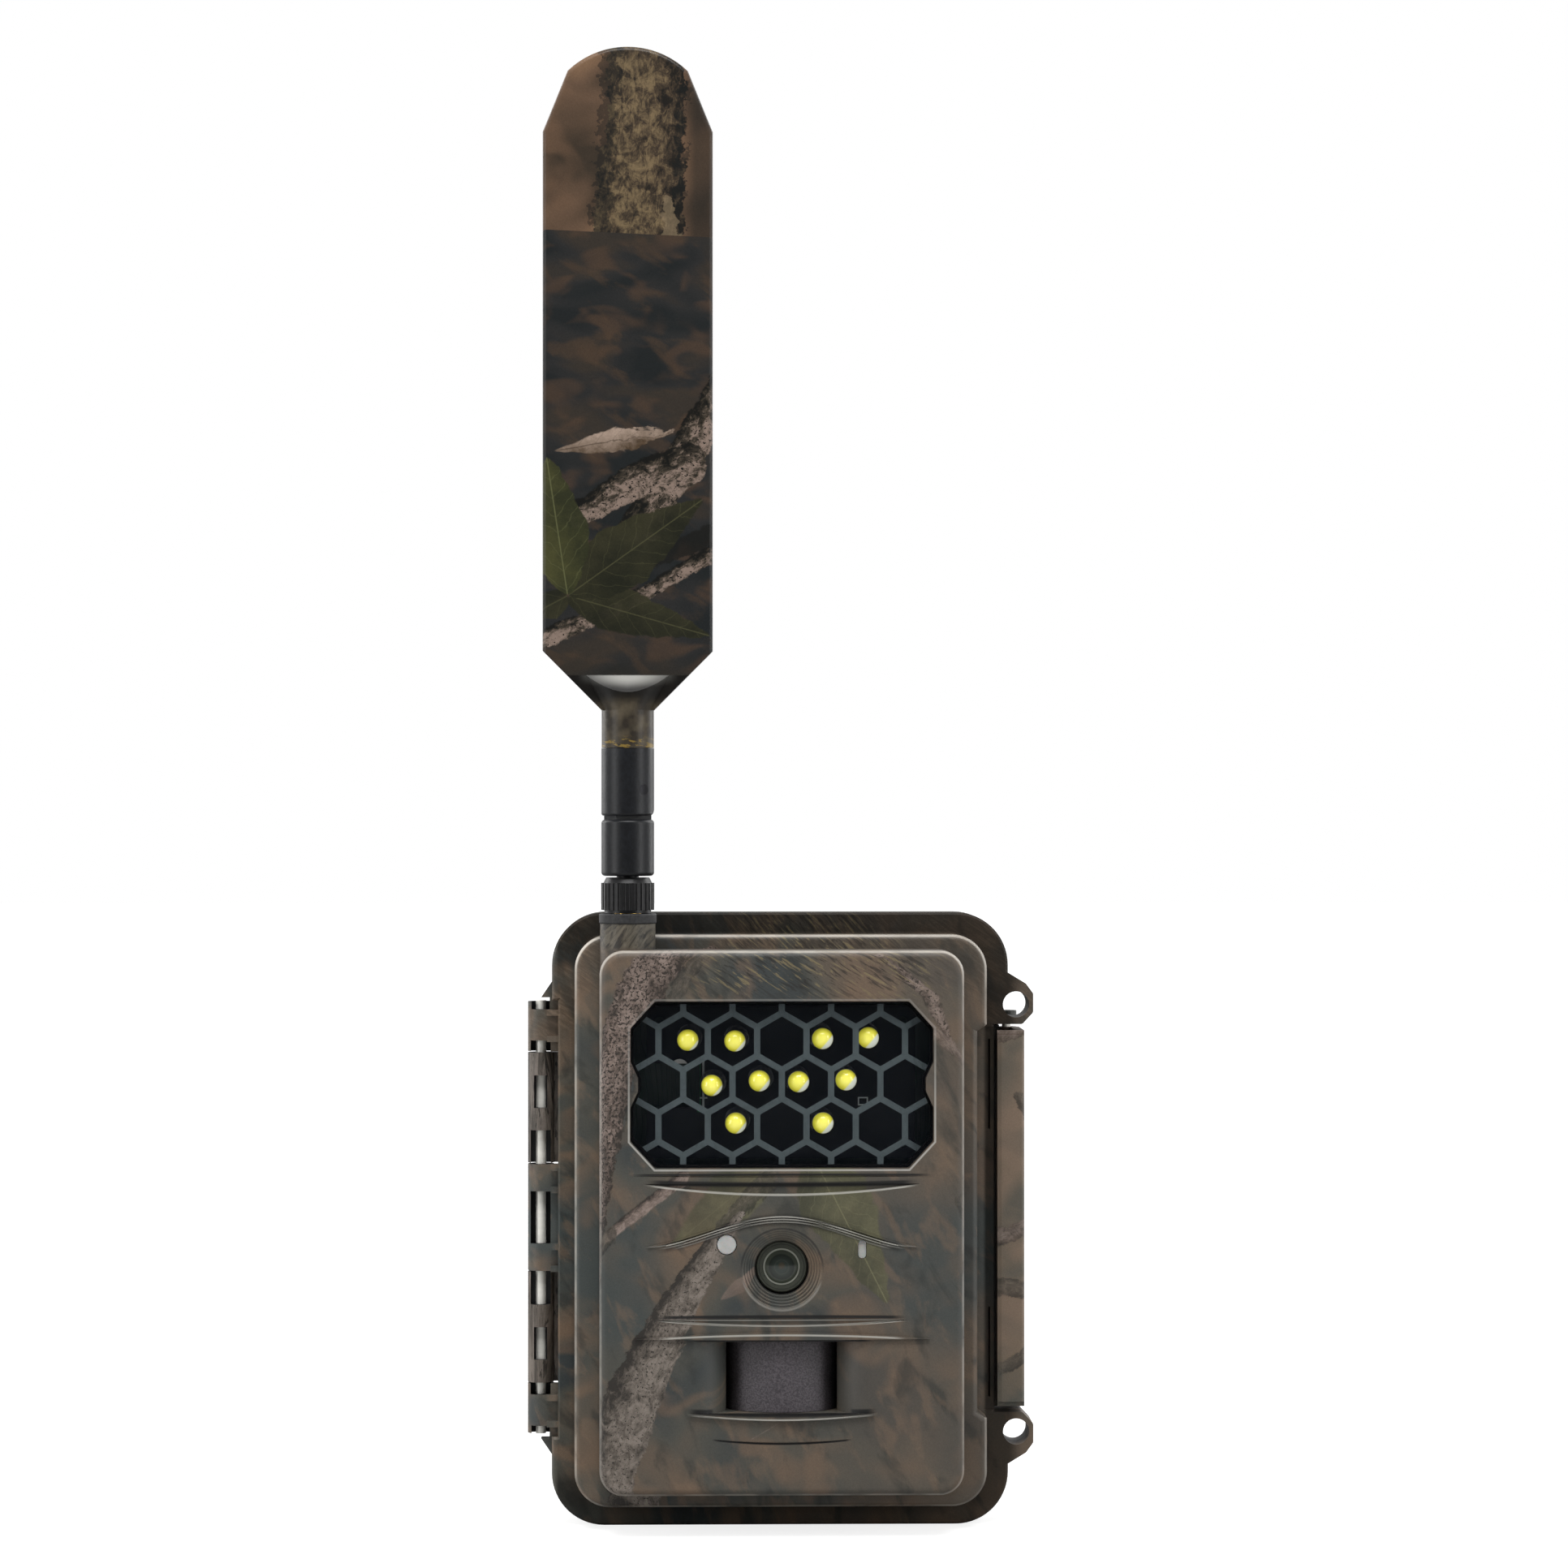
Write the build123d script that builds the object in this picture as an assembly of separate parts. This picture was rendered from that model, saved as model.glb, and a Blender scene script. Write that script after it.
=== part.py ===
"""Clamshell trail camera with a swivelling paddle antenna, in millimetres.

The origin is the mouth of the tripod socket under the rear case. +X is to the right as seen by
the animal being photographed, +Z is up, and the lens looks along -Y. Two cases meet on the parting
plane: the rear case holds the cells and the tree rails, the front case holds the optics and boards.
"""
import os
from math import cos, pi, radians, sin, sqrt

from build123d import *

# ---------------------------------------------------------------- driving dimensions
CASE_W, CASE_H, CASE_R = 104.4, 140.0, 12.0     # outline of the two mating flanges
MID_Z = CASE_H / 2
WALL = 2.4
PART_Y = -16.0                                  # parting plane, which holds the hinge axis
GAP = 0.1                                       # each case stops this far short of the parting plane
FRONT_FLANGE_T, REAR_FLANGE_T = 6.0, 5.0
STEP1_D, STEP2_D = 9.0, 12.0                    # the two raised steps of the front case
BACK_Y = 16.0                                   # outer back face of the rear case
RAIL_D = 10.0                                   # the tree rails stand this far behind it

FLANGE_Y = PART_Y - FRONT_FLANGE_T              # front face of the front flange
STEP1_Y = FLANGE_Y - STEP1_D
FACE_Y = STEP1_Y - STEP2_D                      # front panel
FACE_IN_Y = FACE_Y + WALL
STEP1_IN_Y = STEP1_Y + WALL

STEP1_HALF_W, STEP1_NOTCH_X = 46.8, 44.6        # the right side steps in beside the latch
STEP1_Z = (5.4, 135.2)
STEP1_R = 8.0
NOTCH_Z = (25.2, 114.8)
STEP2_HALF_W, STEP2_Z, STEP2_R = 40.9, (9.8, 132.0), 5.5

REAR_BOX_W, REAR_BOX_H, REAR_BOX_R = 97.2, 133.0, 10.0
PAD_HALF_W, PAD_Y = 32.0, (-10.5, 14.0)         # foot under the rear case, level with the flanges

# hinge: five knuckles on one pin, mirrored about MID_Z; offsets are distances from MID_Z
HINGE_X, KNUCKLE_R, PIN_R = -54.9, 3.0, 1.2
FRONT_BORE_R, REAR_BORE_R = 1.27, 1.22
HINGE_EDGE_X = -50.8                            # both flanges stop here beside the knuckles
MID_KNUCKLE, MID_WINDOW = 12.2, 6.0
REAR_KNUCKLE, REAR_WINDOW, REAR_SLOT = (12.5, 37.8), 20.0, (25.1, 32.6)
END_KNUCKLE, END_WINDOW = (38.1, 49.5), (40.6, 46.4)
ARM_T = 3.0

# latch side
EYE_X, EYE_DZ, EYE_R = 54.05, 48.9, 3.0         # padlock eyes, above and below MID_Z
LATCH_EDGE_X = 49.0                             # both flanges stop here beside the latch
LATCH_SHELF_X = 50.6                            # the rear flange reaches this far behind the latch's lip
LATCH_DZ = 43.9                                 # half length of the opening for the latch
LATCH_PLAY = 0.9                                # gap at each end of the latch
LATCH_X = (49.7, 55.9)
LATCH_FRONT_Y = FLANGE_Y - 1.2
LATCH_AXIS = (53.0, -5.6)
LATCH_BARREL_R, LATCH_PIN_R, LATCH_BORE_R = 2.4, 1.0, 1.06
LATCH_T = 2.0

# window and flash
WINDOW_Z, WINDOW_W, WINDOW_H = 101.9, 67.7, 37.2
WINDOW_CHAMFER = (5.5, 6.0)
WINDOW_NOTCH = (1.7, 1.4, 5.1)                  # depth, half length at the bottom, half length at the top
PANE_Y = FACE_Y + 1.2
PANE_T, LEDGE_W, LEDGE_T = 2.0, 0.5, 1.3
HEX_PITCH, HEX_LINE, MASK_T = 11.08, 1.4, 0.15
LED_R, LED_RIM_R, LED_H, LED_TILT = 2.5, 2.9, 8.5, 5.0
# each flash LED from the middle of the window: X, Z. They are soldered by hand, a little off their rows.
LED_PLACES = ((-20.6, 10.3), (-10.0, 10.1), (8.7, 10.6), (19.0, 10.8), (-15.2, 0.1), (-4.5, 1.1),
              (3.3, 0.9), (14.0, 1.3), (-9.8, -8.4), (8.8, -8.4))
LED_BOARD_Y = -30.4                             # front face of the flash board

# lens, sensors
LENS_Z, LENS_MOUTH_R, LENS_STEPS, LENS_STEP_DR, LENS_STEP_D = 60.6, 8.9, 5, 0.58, 0.95
BARREL_R, GLASS_R, BARREL_DEPTH = 5.8, 4.2, 6.0
SENSE_X, SENSE_Z, SENSE_R = -12.4, 66.2, 2.25
PIPE_X, PIPE_Z, PIPE_W, PIPE_H = 17.95, 65.1, 1.75, 4.1
PIR_Z, PIR_HALF_W, PIR_HALF_H = 36.4, 12.5, 8.1
PIR_MOUTH_HALF_W, PIR_DEPTH, PIR_BULGE = 20.0, 9.0, 7.4

# relief on the front panel: half length, height at the ends, top and bottom in the middle, depth
CREASES = ((34.5, 81.5, 81.8, 81.2, 0.4), (31.0, 79.8, 79.9, 77.4, 0.9), (28.4, 49.3, 49.9, 47.6, 0.8),
           (16.0, 22.6, 22.0, 21.5, 0.35))
BROWS = ((33.0, 45.1, 46.6, 44.9, 0.7), (20.7, 28.4, 28.0, 26.9, 0.9))

BROW_CURVE = ((0.0, 72.6), (11.5, 71.0), (22.6, 67.6), (30.5, 65.8))    # right half of the eyebrow lines

# boards and the inner panel
BOARD_Y, BOARD_T = -25.6, 1.6                   # front face of the main board
PANEL_Y, PANEL_T = -18.6, 2.0                   # front face of the control panel
PANEL_X, PANEL_Z = (-43.8, 41.6), (8.4, 132.2)
LCD_X, LCD_Z, LCD_W, LCD_H = -1.0, 101.0, 44.0, 34.0
BUTTON_R, BUTTON_RIM_R, BUTTON_PROUD = 2.6, 3.3, 1.1
PAD_X, KEY_Z, KEY_PITCH = 14.0, 66.0, 8.6
SOFT_KEY_X = -12.0
SWITCH_X, SWITCH_Z = -28.0, KEY_Z
BAY_X, BAY_Z = (-12.0, 23.0), (11.8, 51.6)      # opening in the panel that both cards and the USB plug use
SD_Z, SD_W, SD_L, SD_T = 38.3, 24.0, 32.0, 2.1
SIM_Z, SIM_W, SIM_L, SIM_T = 18.6, 12.0, 15.0, 0.76
SD_MOUTH_X, SIM_MOUTH_X, USB_MOUTH_X = BAY_X[0] + 1.6, BAY_X[1] - 1.6, BAY_X[1] - 0.7

# cells
CELL_R, CELL_L, CELL_PITCH, CELL_Y = 7.25, 50.5, 15.0, 0.0
TRAY_MID_Z, BAY_DZ = 73.0, 29.0                 # cell centres stand BAY_DZ from the tray's middle
TRAY_Y = (-8.6, 9.0)
TRAY_HALF_W, TRAY_HALF_H = 45.8, 59.0
BAY_H = CELL_L + 6.0

# antenna, all round one vertical axis
ANT_X, ANT_Y = -34.7, -33.0
BOSS_R, BOSS_TOP = 6.25, 137.8
SEAL_R, SEAL_TOP = 6.5, 140.1
THREAD_R, THREAD_TOP = 3.1, 143.3
NUT_R, NUT_Z, NUT_TOP, NUT_TEETH = 6.0, (140.9, 147.0), 148.2, 30
SLEEVE_R = 5.95
BASE_Z, KNUCKLE_Z, PIVOT_Z = (148.6, 161.3), (162.2, 177.4), 168.1
TONGUE_T, TONGUE_R = 4.4, 5.1
PIVOT_TURN = 40.0                               # the pivot pin points this far right of straight ahead
NECK_R, NECK_Z = 5.9, (177.5, 186.0)
BLADE_HALF_W, BLADE_T, FLARE_HALF_W = 19.2, 5.6, 14.0
BLADE_Z = (199.4, 316.6)
CROWN_HALF_W, CROWN_Z, BLADE_TOP = 13.6, 330.4, 335.9
BLADE_WALL = 1.3


# ---------------------------------------------------------------- helpers
def box(x, y, z):
    """A box between the two X, two Y and two Z limits."""
    size = [max(p) - min(p) for p in (x, y, z)]
    centre = [(max(p) + min(p)) / 2 for p in (x, y, z)]
    return Pos(*centre) * Box(*size)


def around(middle, half):
    """The two limits that lie half to either side of middle."""
    return middle - half, middle + half


def is_flat(shape):
    """True for an edge whose points all share one Y."""
    return shape.bounding_box().size.Y < 1e-3


def plate(sketch, y_back, y_front):
    """Extrudes a sketch drawn in X and Z from y_back forward to y_front."""
    return extrude(Plane.XZ.offset(-y_back) * sketch, amount=y_back - y_front)


def rod_y(x, z, r, y_back, y_front):
    return plate(Pos(x, z) * Circle(r), y_back, y_front)


def rod_z(x, y, r, z0, z1):
    return Pos(x, y, (z0 + z1) / 2) * Cylinder(r, z1 - z0)


def outline(points, round_r=0.0):
    """A closed straight-sided outline, its corners rounded by round_r."""
    face = make_face(Polyline(*points, close=True))
    return fillet(face.vertices(), round_r) if round_r else face


def rounded(x, z, r):
    """A rounded rectangle between two X and two Z limits."""
    return Pos((x[0] + x[1]) / 2, (z[0] + z[1]) / 2) * RectangleRounded(x[1] - x[0], z[1] - z[0], r)


def mirror_z(shape):
    """The same shape reflected top to bottom about the middle of the case."""
    return mirror(shape, about=Plane.XY.offset(MID_Z))


def both_ends(shape):
    return shape + mirror_z(shape)


def edges_at_y(shape, y):
    """The edges that lie in the plane at y."""
    return [e for e in shape.edges() if is_flat(e) and abs(e.center().Y - y) < 1e-3]


def crescent(x_half, z_ends, z_top, z_bottom):
    """A sliver between two arcs that meet at its two pointed ends."""
    left, right = (-x_half, z_ends), (x_half, z_ends)
    upper = ThreePointArc(left, (0, z_top), right)
    lower = ThreePointArc(left, (0, z_bottom), right)
    return make_face([upper, lower])


def brow(drop, x_half, width):
    """One eyebrow line, drop below the top one and cut off x_half to either side."""
    def line(down):
        right = [(x, z - down) for x, z in BROW_CURVE]
        left = [(-x, z) for x, z in reversed(right[1:])]
        return Spline(*left, *right, tangents=[(1, 0.15), (1, -0.15)])
    reach, z_end = BROW_CURVE[-1]
    ends = [Line((x, z_end - drop), (x, z_end - drop - width)) for x in (-reach, reach)]
    return make_face([line(drop), line(drop + width)] + ends) & (Pos(0, LENS_Z) * Rectangle(2 * x_half, 40))


# ---------------------------------------------------------------- outlines shared by both cases
def mating_outline():
    """The mating outline: a rounded rectangle cut back beside the hinge and beside the latch."""
    sketch = rounded((-CASE_W / 2, CASE_W / 2), (0, CASE_H), CASE_R)
    sketch -= Pos(HINGE_EDGE_X - 5, MID_Z) * Rectangle(10, 2 * END_KNUCKLE[1] + 0.8)
    return sketch - Pos(LATCH_EDGE_X + 5, MID_Z) * Rectangle(10, 2 * LATCH_DZ + 1)


def ear_outline():
    """The upper padlock ear at the flange's right edge."""
    edge = CASE_W / 2
    ear = outline([(edge - 4, MID_Z + 57.0), (edge, MID_Z + 56.2), (edge + 4.1, MID_Z + 53.7),
                   (edge + 5.8, MID_Z + 51.4), (edge + 5.8, MID_Z + 47.1),
                   (edge + 3.3, MID_Z + 44.4), (edge - 4, MID_Z + 44.4)], 0.9)
    return ear - Pos(EYE_X, MID_Z + EYE_DZ) * Circle(EYE_R)


def flange(y_back, y_front):
    """Flange plate of either case, pierced by the two padlock eyes."""
    ears = both_ends(plate(ear_outline(), y_back, y_front))
    eyes = both_ends(rod_y(EYE_X, MID_Z + EYE_DZ, EYE_R, y_back + 1, y_front - 1))
    body = plate(mating_outline(), y_back, y_front)
    if y_front == FLANGE_Y:
        body = chamfer(edges_at_y(body, y_front), 0.5)
    return body + ears - eyes


def step1_outline(inset=0.0):
    right, notch = STEP1_HALF_W - inset, STEP1_NOTCH_X - inset
    low, high = STEP1_Z[0] + inset, STEP1_Z[1] - inset
    body = rounded((-right, right), (low, high), STEP1_R - inset)
    slope = 1.6
    bite = outline([(notch, NOTCH_Z[1] - slope), (notch + 8, NOTCH_Z[1] - slope + 8 * 0.7),
                    (notch + 8, NOTCH_Z[0] + slope - 8 * 0.7), (notch, NOTCH_Z[0] + slope)])
    return body - bite


def step2_outline(inset=0.0):
    half = STEP2_HALF_W - inset
    return rounded((-half, half), (STEP2_Z[0] + inset, STEP2_Z[1] - inset), STEP2_R - inset)


def window_outline(grow=0.0):
    """The flash window: chamfered corners and a shallow notch half way up each side."""
    w, h = WINDOW_W / 2 + grow, WINDOW_H / 2 + grow
    cx, cz = WINDOW_CHAMFER
    depth, short, long = WINDOW_NOTCH
    quarter = [(w - depth, short), (w, long), (w, h - cz), (w - cx, h)]
    points = quarter + [(-x, z) for x, z in reversed(quarter)]
    points += [(-x, -z) for x, z in quarter] + [(x, -z) for x, z in reversed(quarter)]
    return Pos(0, WINDOW_Z) * outline(points, 1.2)


# ---------------------------------------------------------------- hinge
def barrel(z0, z1, bore):
    """One knuckle around the hinge axis."""
    solid = rod_z(HINGE_X, PART_Y, KNUCKLE_R, MID_Z + z0, MID_Z + z1)
    return solid, rod_z(HINGE_X, PART_Y, bore, MID_Z + z0 - 1, MID_Z + z1 + 1)


def front_window(z0, z1, width):
    """A window in the front of a knuckle that shows the pin."""
    x = (HINGE_X - width / 2, HINGE_X + width / 2)
    return box(x, (PART_Y - KNUCKLE_R - 1, PART_Y), (MID_Z + z0, MID_Z + z1))


def front_knuckles():
    middle, bore = barrel(-MID_KNUCKLE, MID_KNUCKLE, FRONT_BORE_R)
    arm_x = (HINGE_X, HINGE_EDGE_X + 0.5)
    arm_y = (PART_Y - GAP, PART_Y - ARM_T)
    rib_y = (PART_Y - GAP, FLANGE_Y + 0.6)
    middle += box(arm_x, arm_y, (MID_Z - MID_KNUCKLE, MID_Z + MID_KNUCKLE))
    for sign in (1, -1):
        for near, far in ((MID_KNUCKLE - 1.3, MID_KNUCKLE), (MID_WINDOW - 0.2, MID_WINDOW + 1.2)):
            middle += box((HINGE_X + 2.4, arm_x[1]), rib_y, (MID_Z + sign * near, MID_Z + sign * far))
    middle -= front_window(-MID_WINDOW, MID_WINDOW, 4.6)
    middle -= bore
    end, end_bore = barrel(*END_KNUCKLE, FRONT_BORE_R)
    end += box(arm_x, arm_y, (MID_Z + END_KNUCKLE[0], MID_Z + END_KNUCKLE[1]))
    for near, far in ((END_WINDOW[0] - 0.2, END_WINDOW[0] + 1.1), (END_WINDOW[1], END_WINDOW[1] + 1.3)):
        end += box((HINGE_X + 1.5, arm_x[1]), rib_y, (MID_Z + near, MID_Z + far))
    edge = -CASE_W / 2
    web = outline([(edge + 1.5, MID_Z + 49.0), (edge + 1.5, MID_Z + 55.5), (edge, MID_Z + 54.3),
                   (HINGE_X, MID_Z + 50.3), (HINGE_X - 1.6, MID_Z + 49.0)])
    end += plate(web, PART_Y - GAP, PART_Y - ARM_T)
    end -= front_window(END_KNUCKLE[0] - 1, END_WINDOW[0], 4.6)
    end -= front_window(END_WINDOW[1] + 1.3, END_KNUCKLE[1] + 1, 4.2)
    end -= end_bore
    return middle + both_ends(end)


def rear_knuckles():
    z0, z1 = REAR_KNUCKLE
    solid, bore = barrel(z0, z1, REAR_BORE_R)
    solid += box((HINGE_X, HINGE_EDGE_X + 0.5), (PART_Y + GAP, PART_Y + ARM_T), (MID_Z + z0, MID_Z + z1))
    solid -= front_window(z0 - 1, REAR_WINDOW, 4.6)
    solid -= front_window(*REAR_SLOT, 3.0)
    return both_ends(solid - bore)


def hinge_pin():
    half = END_KNUCKLE[1] + 0.2
    return rod_z(HINGE_X, PART_Y, PIN_R, MID_Z - half, MID_Z + half)


# ---------------------------------------------------------------- front case
def lens_funnel():
    """The concentric steps round the lens, as the volume they take out."""
    cut = None
    for i in range(LENS_STEPS):
        r, y = LENS_MOUTH_R - i * LENS_STEP_DR, FACE_Y + i * LENS_STEP_D
        ring = rod_y(0, LENS_Z, r, y + LENS_STEP_D, y - (1 if i == 0 else 0))
        cut = ring if cut is None else cut + ring
    return cut + rod_y(0, LENS_Z, BARREL_R + 0.25, FACE_Y + 9, FACE_Y)


def pir_recess():
    """The hollow in front of the motion sensor, its side walls curving in to the curtain lens."""
    back_y = FACE_Y + PIR_DEPTH
    w0, w1 = PIR_MOUTH_HALF_W, PIR_HALF_W
    bend = (w0 - 5.7, FACE_Y + 2.6)             # the walls leave the panel gently and steepen inwards
    right = ThreePointArc((w0, FACE_Y), bend, (w1, back_y))
    left = ThreePointArc((-w1, back_y), (-bend[0], bend[1]), (-w0, FACE_Y))
    front = Polyline((-w0, FACE_Y), (-w0, FACE_Y - 4), (w0, FACE_Y - 4), (w0, FACE_Y))
    section = make_face([right, Line((w1, back_y), (-w1, back_y)), left, front])
    return extrude(Plane.XY.offset(PIR_Z - PIR_HALF_H) * section, amount=2 * PIR_HALF_H)


def antenna_boss():
    return rod_z(ANT_X, ANT_Y, BOSS_R, 118.0, BOSS_TOP)


def front_solid():
    """The outside of the front case before it is hollowed."""
    step1 = plate(step1_outline(), PART_Y - GAP, STEP1_Y)
    step1 = fillet(edges_at_y(step1, STEP1_Y), 1.3)
    step2 = plate(step2_outline(), PART_Y - GAP, FACE_Y)
    step2 = fillet(edges_at_y(step2, FACE_Y), 1.8)
    return flange(PART_Y - GAP, FLANGE_Y) + step1 + step2 + antenna_boss()


def front_inside():
    """The hollow of the front case."""
    hollow = plate(step1_outline(WALL), PART_Y + 1, STEP1_IN_Y)
    return hollow + plate(step2_outline(WALL), PART_Y + 1, FACE_IN_Y)


def front_shell():
    shell = front_solid() - front_inside()
    shell += plate(window_outline(2.2), PANE_Y + PANE_T + LEDGE_T, FACE_Y + 1)
    shell += rod_y(0, LENS_Z, LENS_MOUTH_R + 1.8, FACE_Y + LENS_STEPS * LENS_STEP_D + 1.2, FACE_Y + 1)
    pir_wall = 1.8
    shell += box(around(0, PIR_MOUTH_HALF_W + pir_wall), (FACE_Y + 1, FACE_Y + PIR_DEPTH + pir_wall),
                 around(PIR_Z, PIR_HALF_H + pir_wall))
    shell -= pir_recess()
    shell -= box(around(0, PIR_HALF_W), (FACE_Y, FACE_Y + PIR_DEPTH + 3), around(PIR_Z, PIR_HALF_H))
    shell -= plate(window_outline(0.1), PANE_Y + PANE_T, FACE_Y - 1)
    shell -= plate(window_outline(-LEDGE_W), PANE_Y + PANE_T + LEDGE_T + 1, PANE_Y)
    shell -= lens_funnel()
    shell -= rod_y(SENSE_X, SENSE_Z, SENSE_R + 0.08, FACE_IN_Y + 1, FACE_Y - 1)
    pipe_slot = Pos(PIPE_X, PIPE_Z) * SlotOverall(PIPE_H + 0.16, PIPE_W + 0.16, rotation=90)
    shell -= plate(pipe_slot, FACE_IN_Y + 1, FACE_Y - 1)
    shell = panel_relief(shell)
    shell += front_knuckles()
    for sign in (1, -1):                        # slits that leave a springy rib beside the latch
        slit_z = sorted((MID_Z + sign * 20.4, MID_Z + sign * 41.0))
        shell -= box((LATCH_EDGE_X - 1.35, LATCH_EDGE_X - 0.85), (FLANGE_Y - 1, FLANGE_Y + 3), slit_z)
    shell -= box((46.85, LATCH_EDGE_X + 1), (FLANGE_Y - 1, FLANGE_Y + 0.7), around(MID_Z, LATCH_DZ))
    shell += panel_posts()
    shell -= rod_z(ANT_X, ANT_Y, THREAD_R + 0.08, 100, BOSS_TOP + 1)
    shell -= rod_z(ANT_X, ANT_Y, 4.6, 110, BOSS_TOP - 5.2)
    return shell


def panel_relief(shell):
    """The creases and brow lines that run across the front panel."""
    for x_half, z_ends, z_top, z_bottom, depth in CREASES:
        shell -= plate(crescent(x_half, z_ends, z_top, z_bottom), FACE_Y + depth, FACE_Y - 1)
    for x_half, z_ends, z_top, z_bottom, proud in BROWS:
        shell += plate(crescent(x_half, z_ends, z_top, z_bottom), FACE_Y + 0.5, FACE_Y - proud)
    for i in range(3):
        shell += plate(brow(0.56 * i, 30.0 - 4.0 * i, 0.3), FACE_Y + 0.5, FACE_Y - 0.4)
    return shell


PANEL_SCREWS = [(-40.2, 14.6), (38.6, 17.5), (-40.2, 125.4), (38.6, 122.5)]


def panel_posts():
    """Posts inside the front case that the control panel screws into."""
    posts = None
    for x, z in PANEL_SCREWS:
        post = rod_y(x, z, 2.4, PANEL_Y, STEP1_IN_Y - 0.6)
        post -= rod_y(x, z, 1.02, PANEL_Y + 1, STEP1_IN_Y + 1.2)
        posts = post if posts is None else posts + post
    return posts


def led_window():
    return plate(window_outline(-0.05), PANE_Y + PANE_T, PANE_Y)


def honeycomb_mask():
    """The printed honeycomb behind the pane: a sheet with its hexagons cut out."""
    back, front = PANE_Y + PANE_T + MASK_T, PANE_Y + PANE_T
    sheet = window_outline(-LEDGE_W - 0.1)
    row_pitch = HEX_PITCH * sqrt(3) / 2
    hex_r = (HEX_PITCH - HEX_LINE) / sqrt(3)
    for row in range(-2, 3):
        shift = 0.0 if row % 2 else 0.5
        for col in range(-4, 4):
            x, z = (col + shift) * HEX_PITCH, WINDOW_Z + row * row_pitch
            sheet -= Pos(x, z) * RegularPolygon(hex_r, 6, rotation=30)
    return plate(sheet, back, front)


def flash_leds():
    """Ten round LEDs, each leaning a few degrees outwards and down to spread the beam."""
    made = []
    rise = LED_RIM_R * sin(radians(LED_TILT * 1.5))
    for x, dz in LED_PLACES:
        body = Pos(0, 0, (LED_H - LED_R) / 2) * Cylinder(LED_R, LED_H - LED_R)
        body += Pos(0, 0, LED_H - LED_R) * Sphere(LED_R)
        body += Pos(0, 0, 0.5) * Cylinder(LED_RIM_R, 1.0)
        side = 1 if x > 0 else -1
        lean = Rot(90 + LED_TILT, 0, 0) * Rot(0, side * LED_TILT, 0)
        made.append(Pos(x, LED_BOARD_Y - rise - 0.05, WINDOW_Z + dz) * lean * body)
    return Compound(children=made)


def led_board():
    board = plate(rounded((-30.5, 30.5), (84.5, 119.0), 1.5), LED_BOARD_Y + 1.2, LED_BOARD_Y)
    board -= plate(rounded((-31, -18.4), (96.0, 106.0), 0.6), LED_BOARD_Y + 3, LED_BOARD_Y - 1)
    for x, z in ((-27.5, 115.5), (27.5, 115.5), (-27.5, 88.0), (27.5, 88.0)):
        board -= rod_y(x, z, 1.1, LED_BOARD_Y + 3, LED_BOARD_Y - 1)
    return board


def light_sensor_window():
    disc = rod_y(SENSE_X, SENSE_Z, SENSE_R, FACE_IN_Y, FACE_Y + 0.2)
    disc = fillet(edges_at_y(disc, FACE_Y + 0.2), 0.3)
    return disc + rod_y(SENSE_X, SENSE_Z, SENSE_R + 0.5, FACE_IN_Y + 0.9, FACE_IN_Y)


def light_sensor():
    """Photodiode that reads the daylight behind its window."""
    return rod_y(SENSE_X, SENSE_Z, 2.0, BOARD_Y, BOARD_Y - 8.5)


def status_light_pipe():
    slot = SlotOverall(PIPE_H, PIPE_W, rotation=90)
    pipe = plate(Pos(PIPE_X, PIPE_Z) * slot, BOARD_Y - 2.2, FACE_Y + 0.5)
    collar = rounded(around(PIPE_X, 2), around(PIPE_Z, 3.2), 0.5)
    return pipe + plate(collar, FACE_IN_Y + 1.1, FACE_IN_Y + 0.1)


def status_led():
    return box((PIPE_X - 0.8, PIPE_X + 0.8), (BOARD_Y - 0.9, BOARD_Y), (PIPE_Z - 1.6, PIPE_Z + 1.6))


HOLDER_Y = (BOARD_Y, -33.8)                     # lens holder with the filter changer inside
FILTER_Y = (-28.6, -29.4)


def lens_holder():
    body = box((-9.0, 17.0), HOLDER_Y, (LENS_Z - 7.8, LENS_Z + 7.8))
    body -= rod_y(0, LENS_Z, BARREL_R + 0.06, FILTER_Y[1] - 0.8, HOLDER_Y[1] - 1)
    body -= rod_y(0, LENS_Z, 3.6, FILTER_Y[0], FILTER_Y[1] - 1)
    body -= box((-6.6, 14.8), (FILTER_Y[0] + 0.2, FILTER_Y[1] - 0.2), (LENS_Z - 5.2, LENS_Z + 5.2))
    body -= box((-5.5, 5.5), (BOARD_Y + 1, FILTER_Y[0] - 0.5), (LENS_Z - 5.5, LENS_Z + 5.5))
    return body


def ir_cut_filter():
    """The glass that slides out of the light path at night."""
    return box((-5.0, 5.0), FILTER_Y, (LENS_Z - 5.0, LENS_Z + 5.0))


def lens_barrel():
    front_y = FACE_Y + BARREL_DEPTH
    tube = rod_y(0, LENS_Z, BARREL_R, FILTER_Y[1] - 0.9, front_y)
    tube = chamfer(edges_at_y(tube, front_y), 0.3)
    tube -= rod_y(0, LENS_Z, GLASS_R + 0.03, front_y + 1.6, front_y - 1)
    tube -= rod_y(0, LENS_Z, 2.6, FILTER_Y[1], front_y)
    return tube


def lens_front_element():
    """Domed outer element, held in the nose of the barrel."""
    front_y = FACE_Y + BARREL_DEPTH
    disc = rod_y(0, LENS_Z, GLASS_R, front_y + 1.6, front_y - 1.2)
    dome_r = 10.0
    return disc & (Pos(0, front_y - 0.55 + dome_r, LENS_Z) * Sphere(dome_r))


def image_sensor():
    return box((-4.2, 4.2), (BOARD_Y - 1.2, BOARD_Y), (LENS_Z - 3.9, LENS_Z + 3.9))


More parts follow.
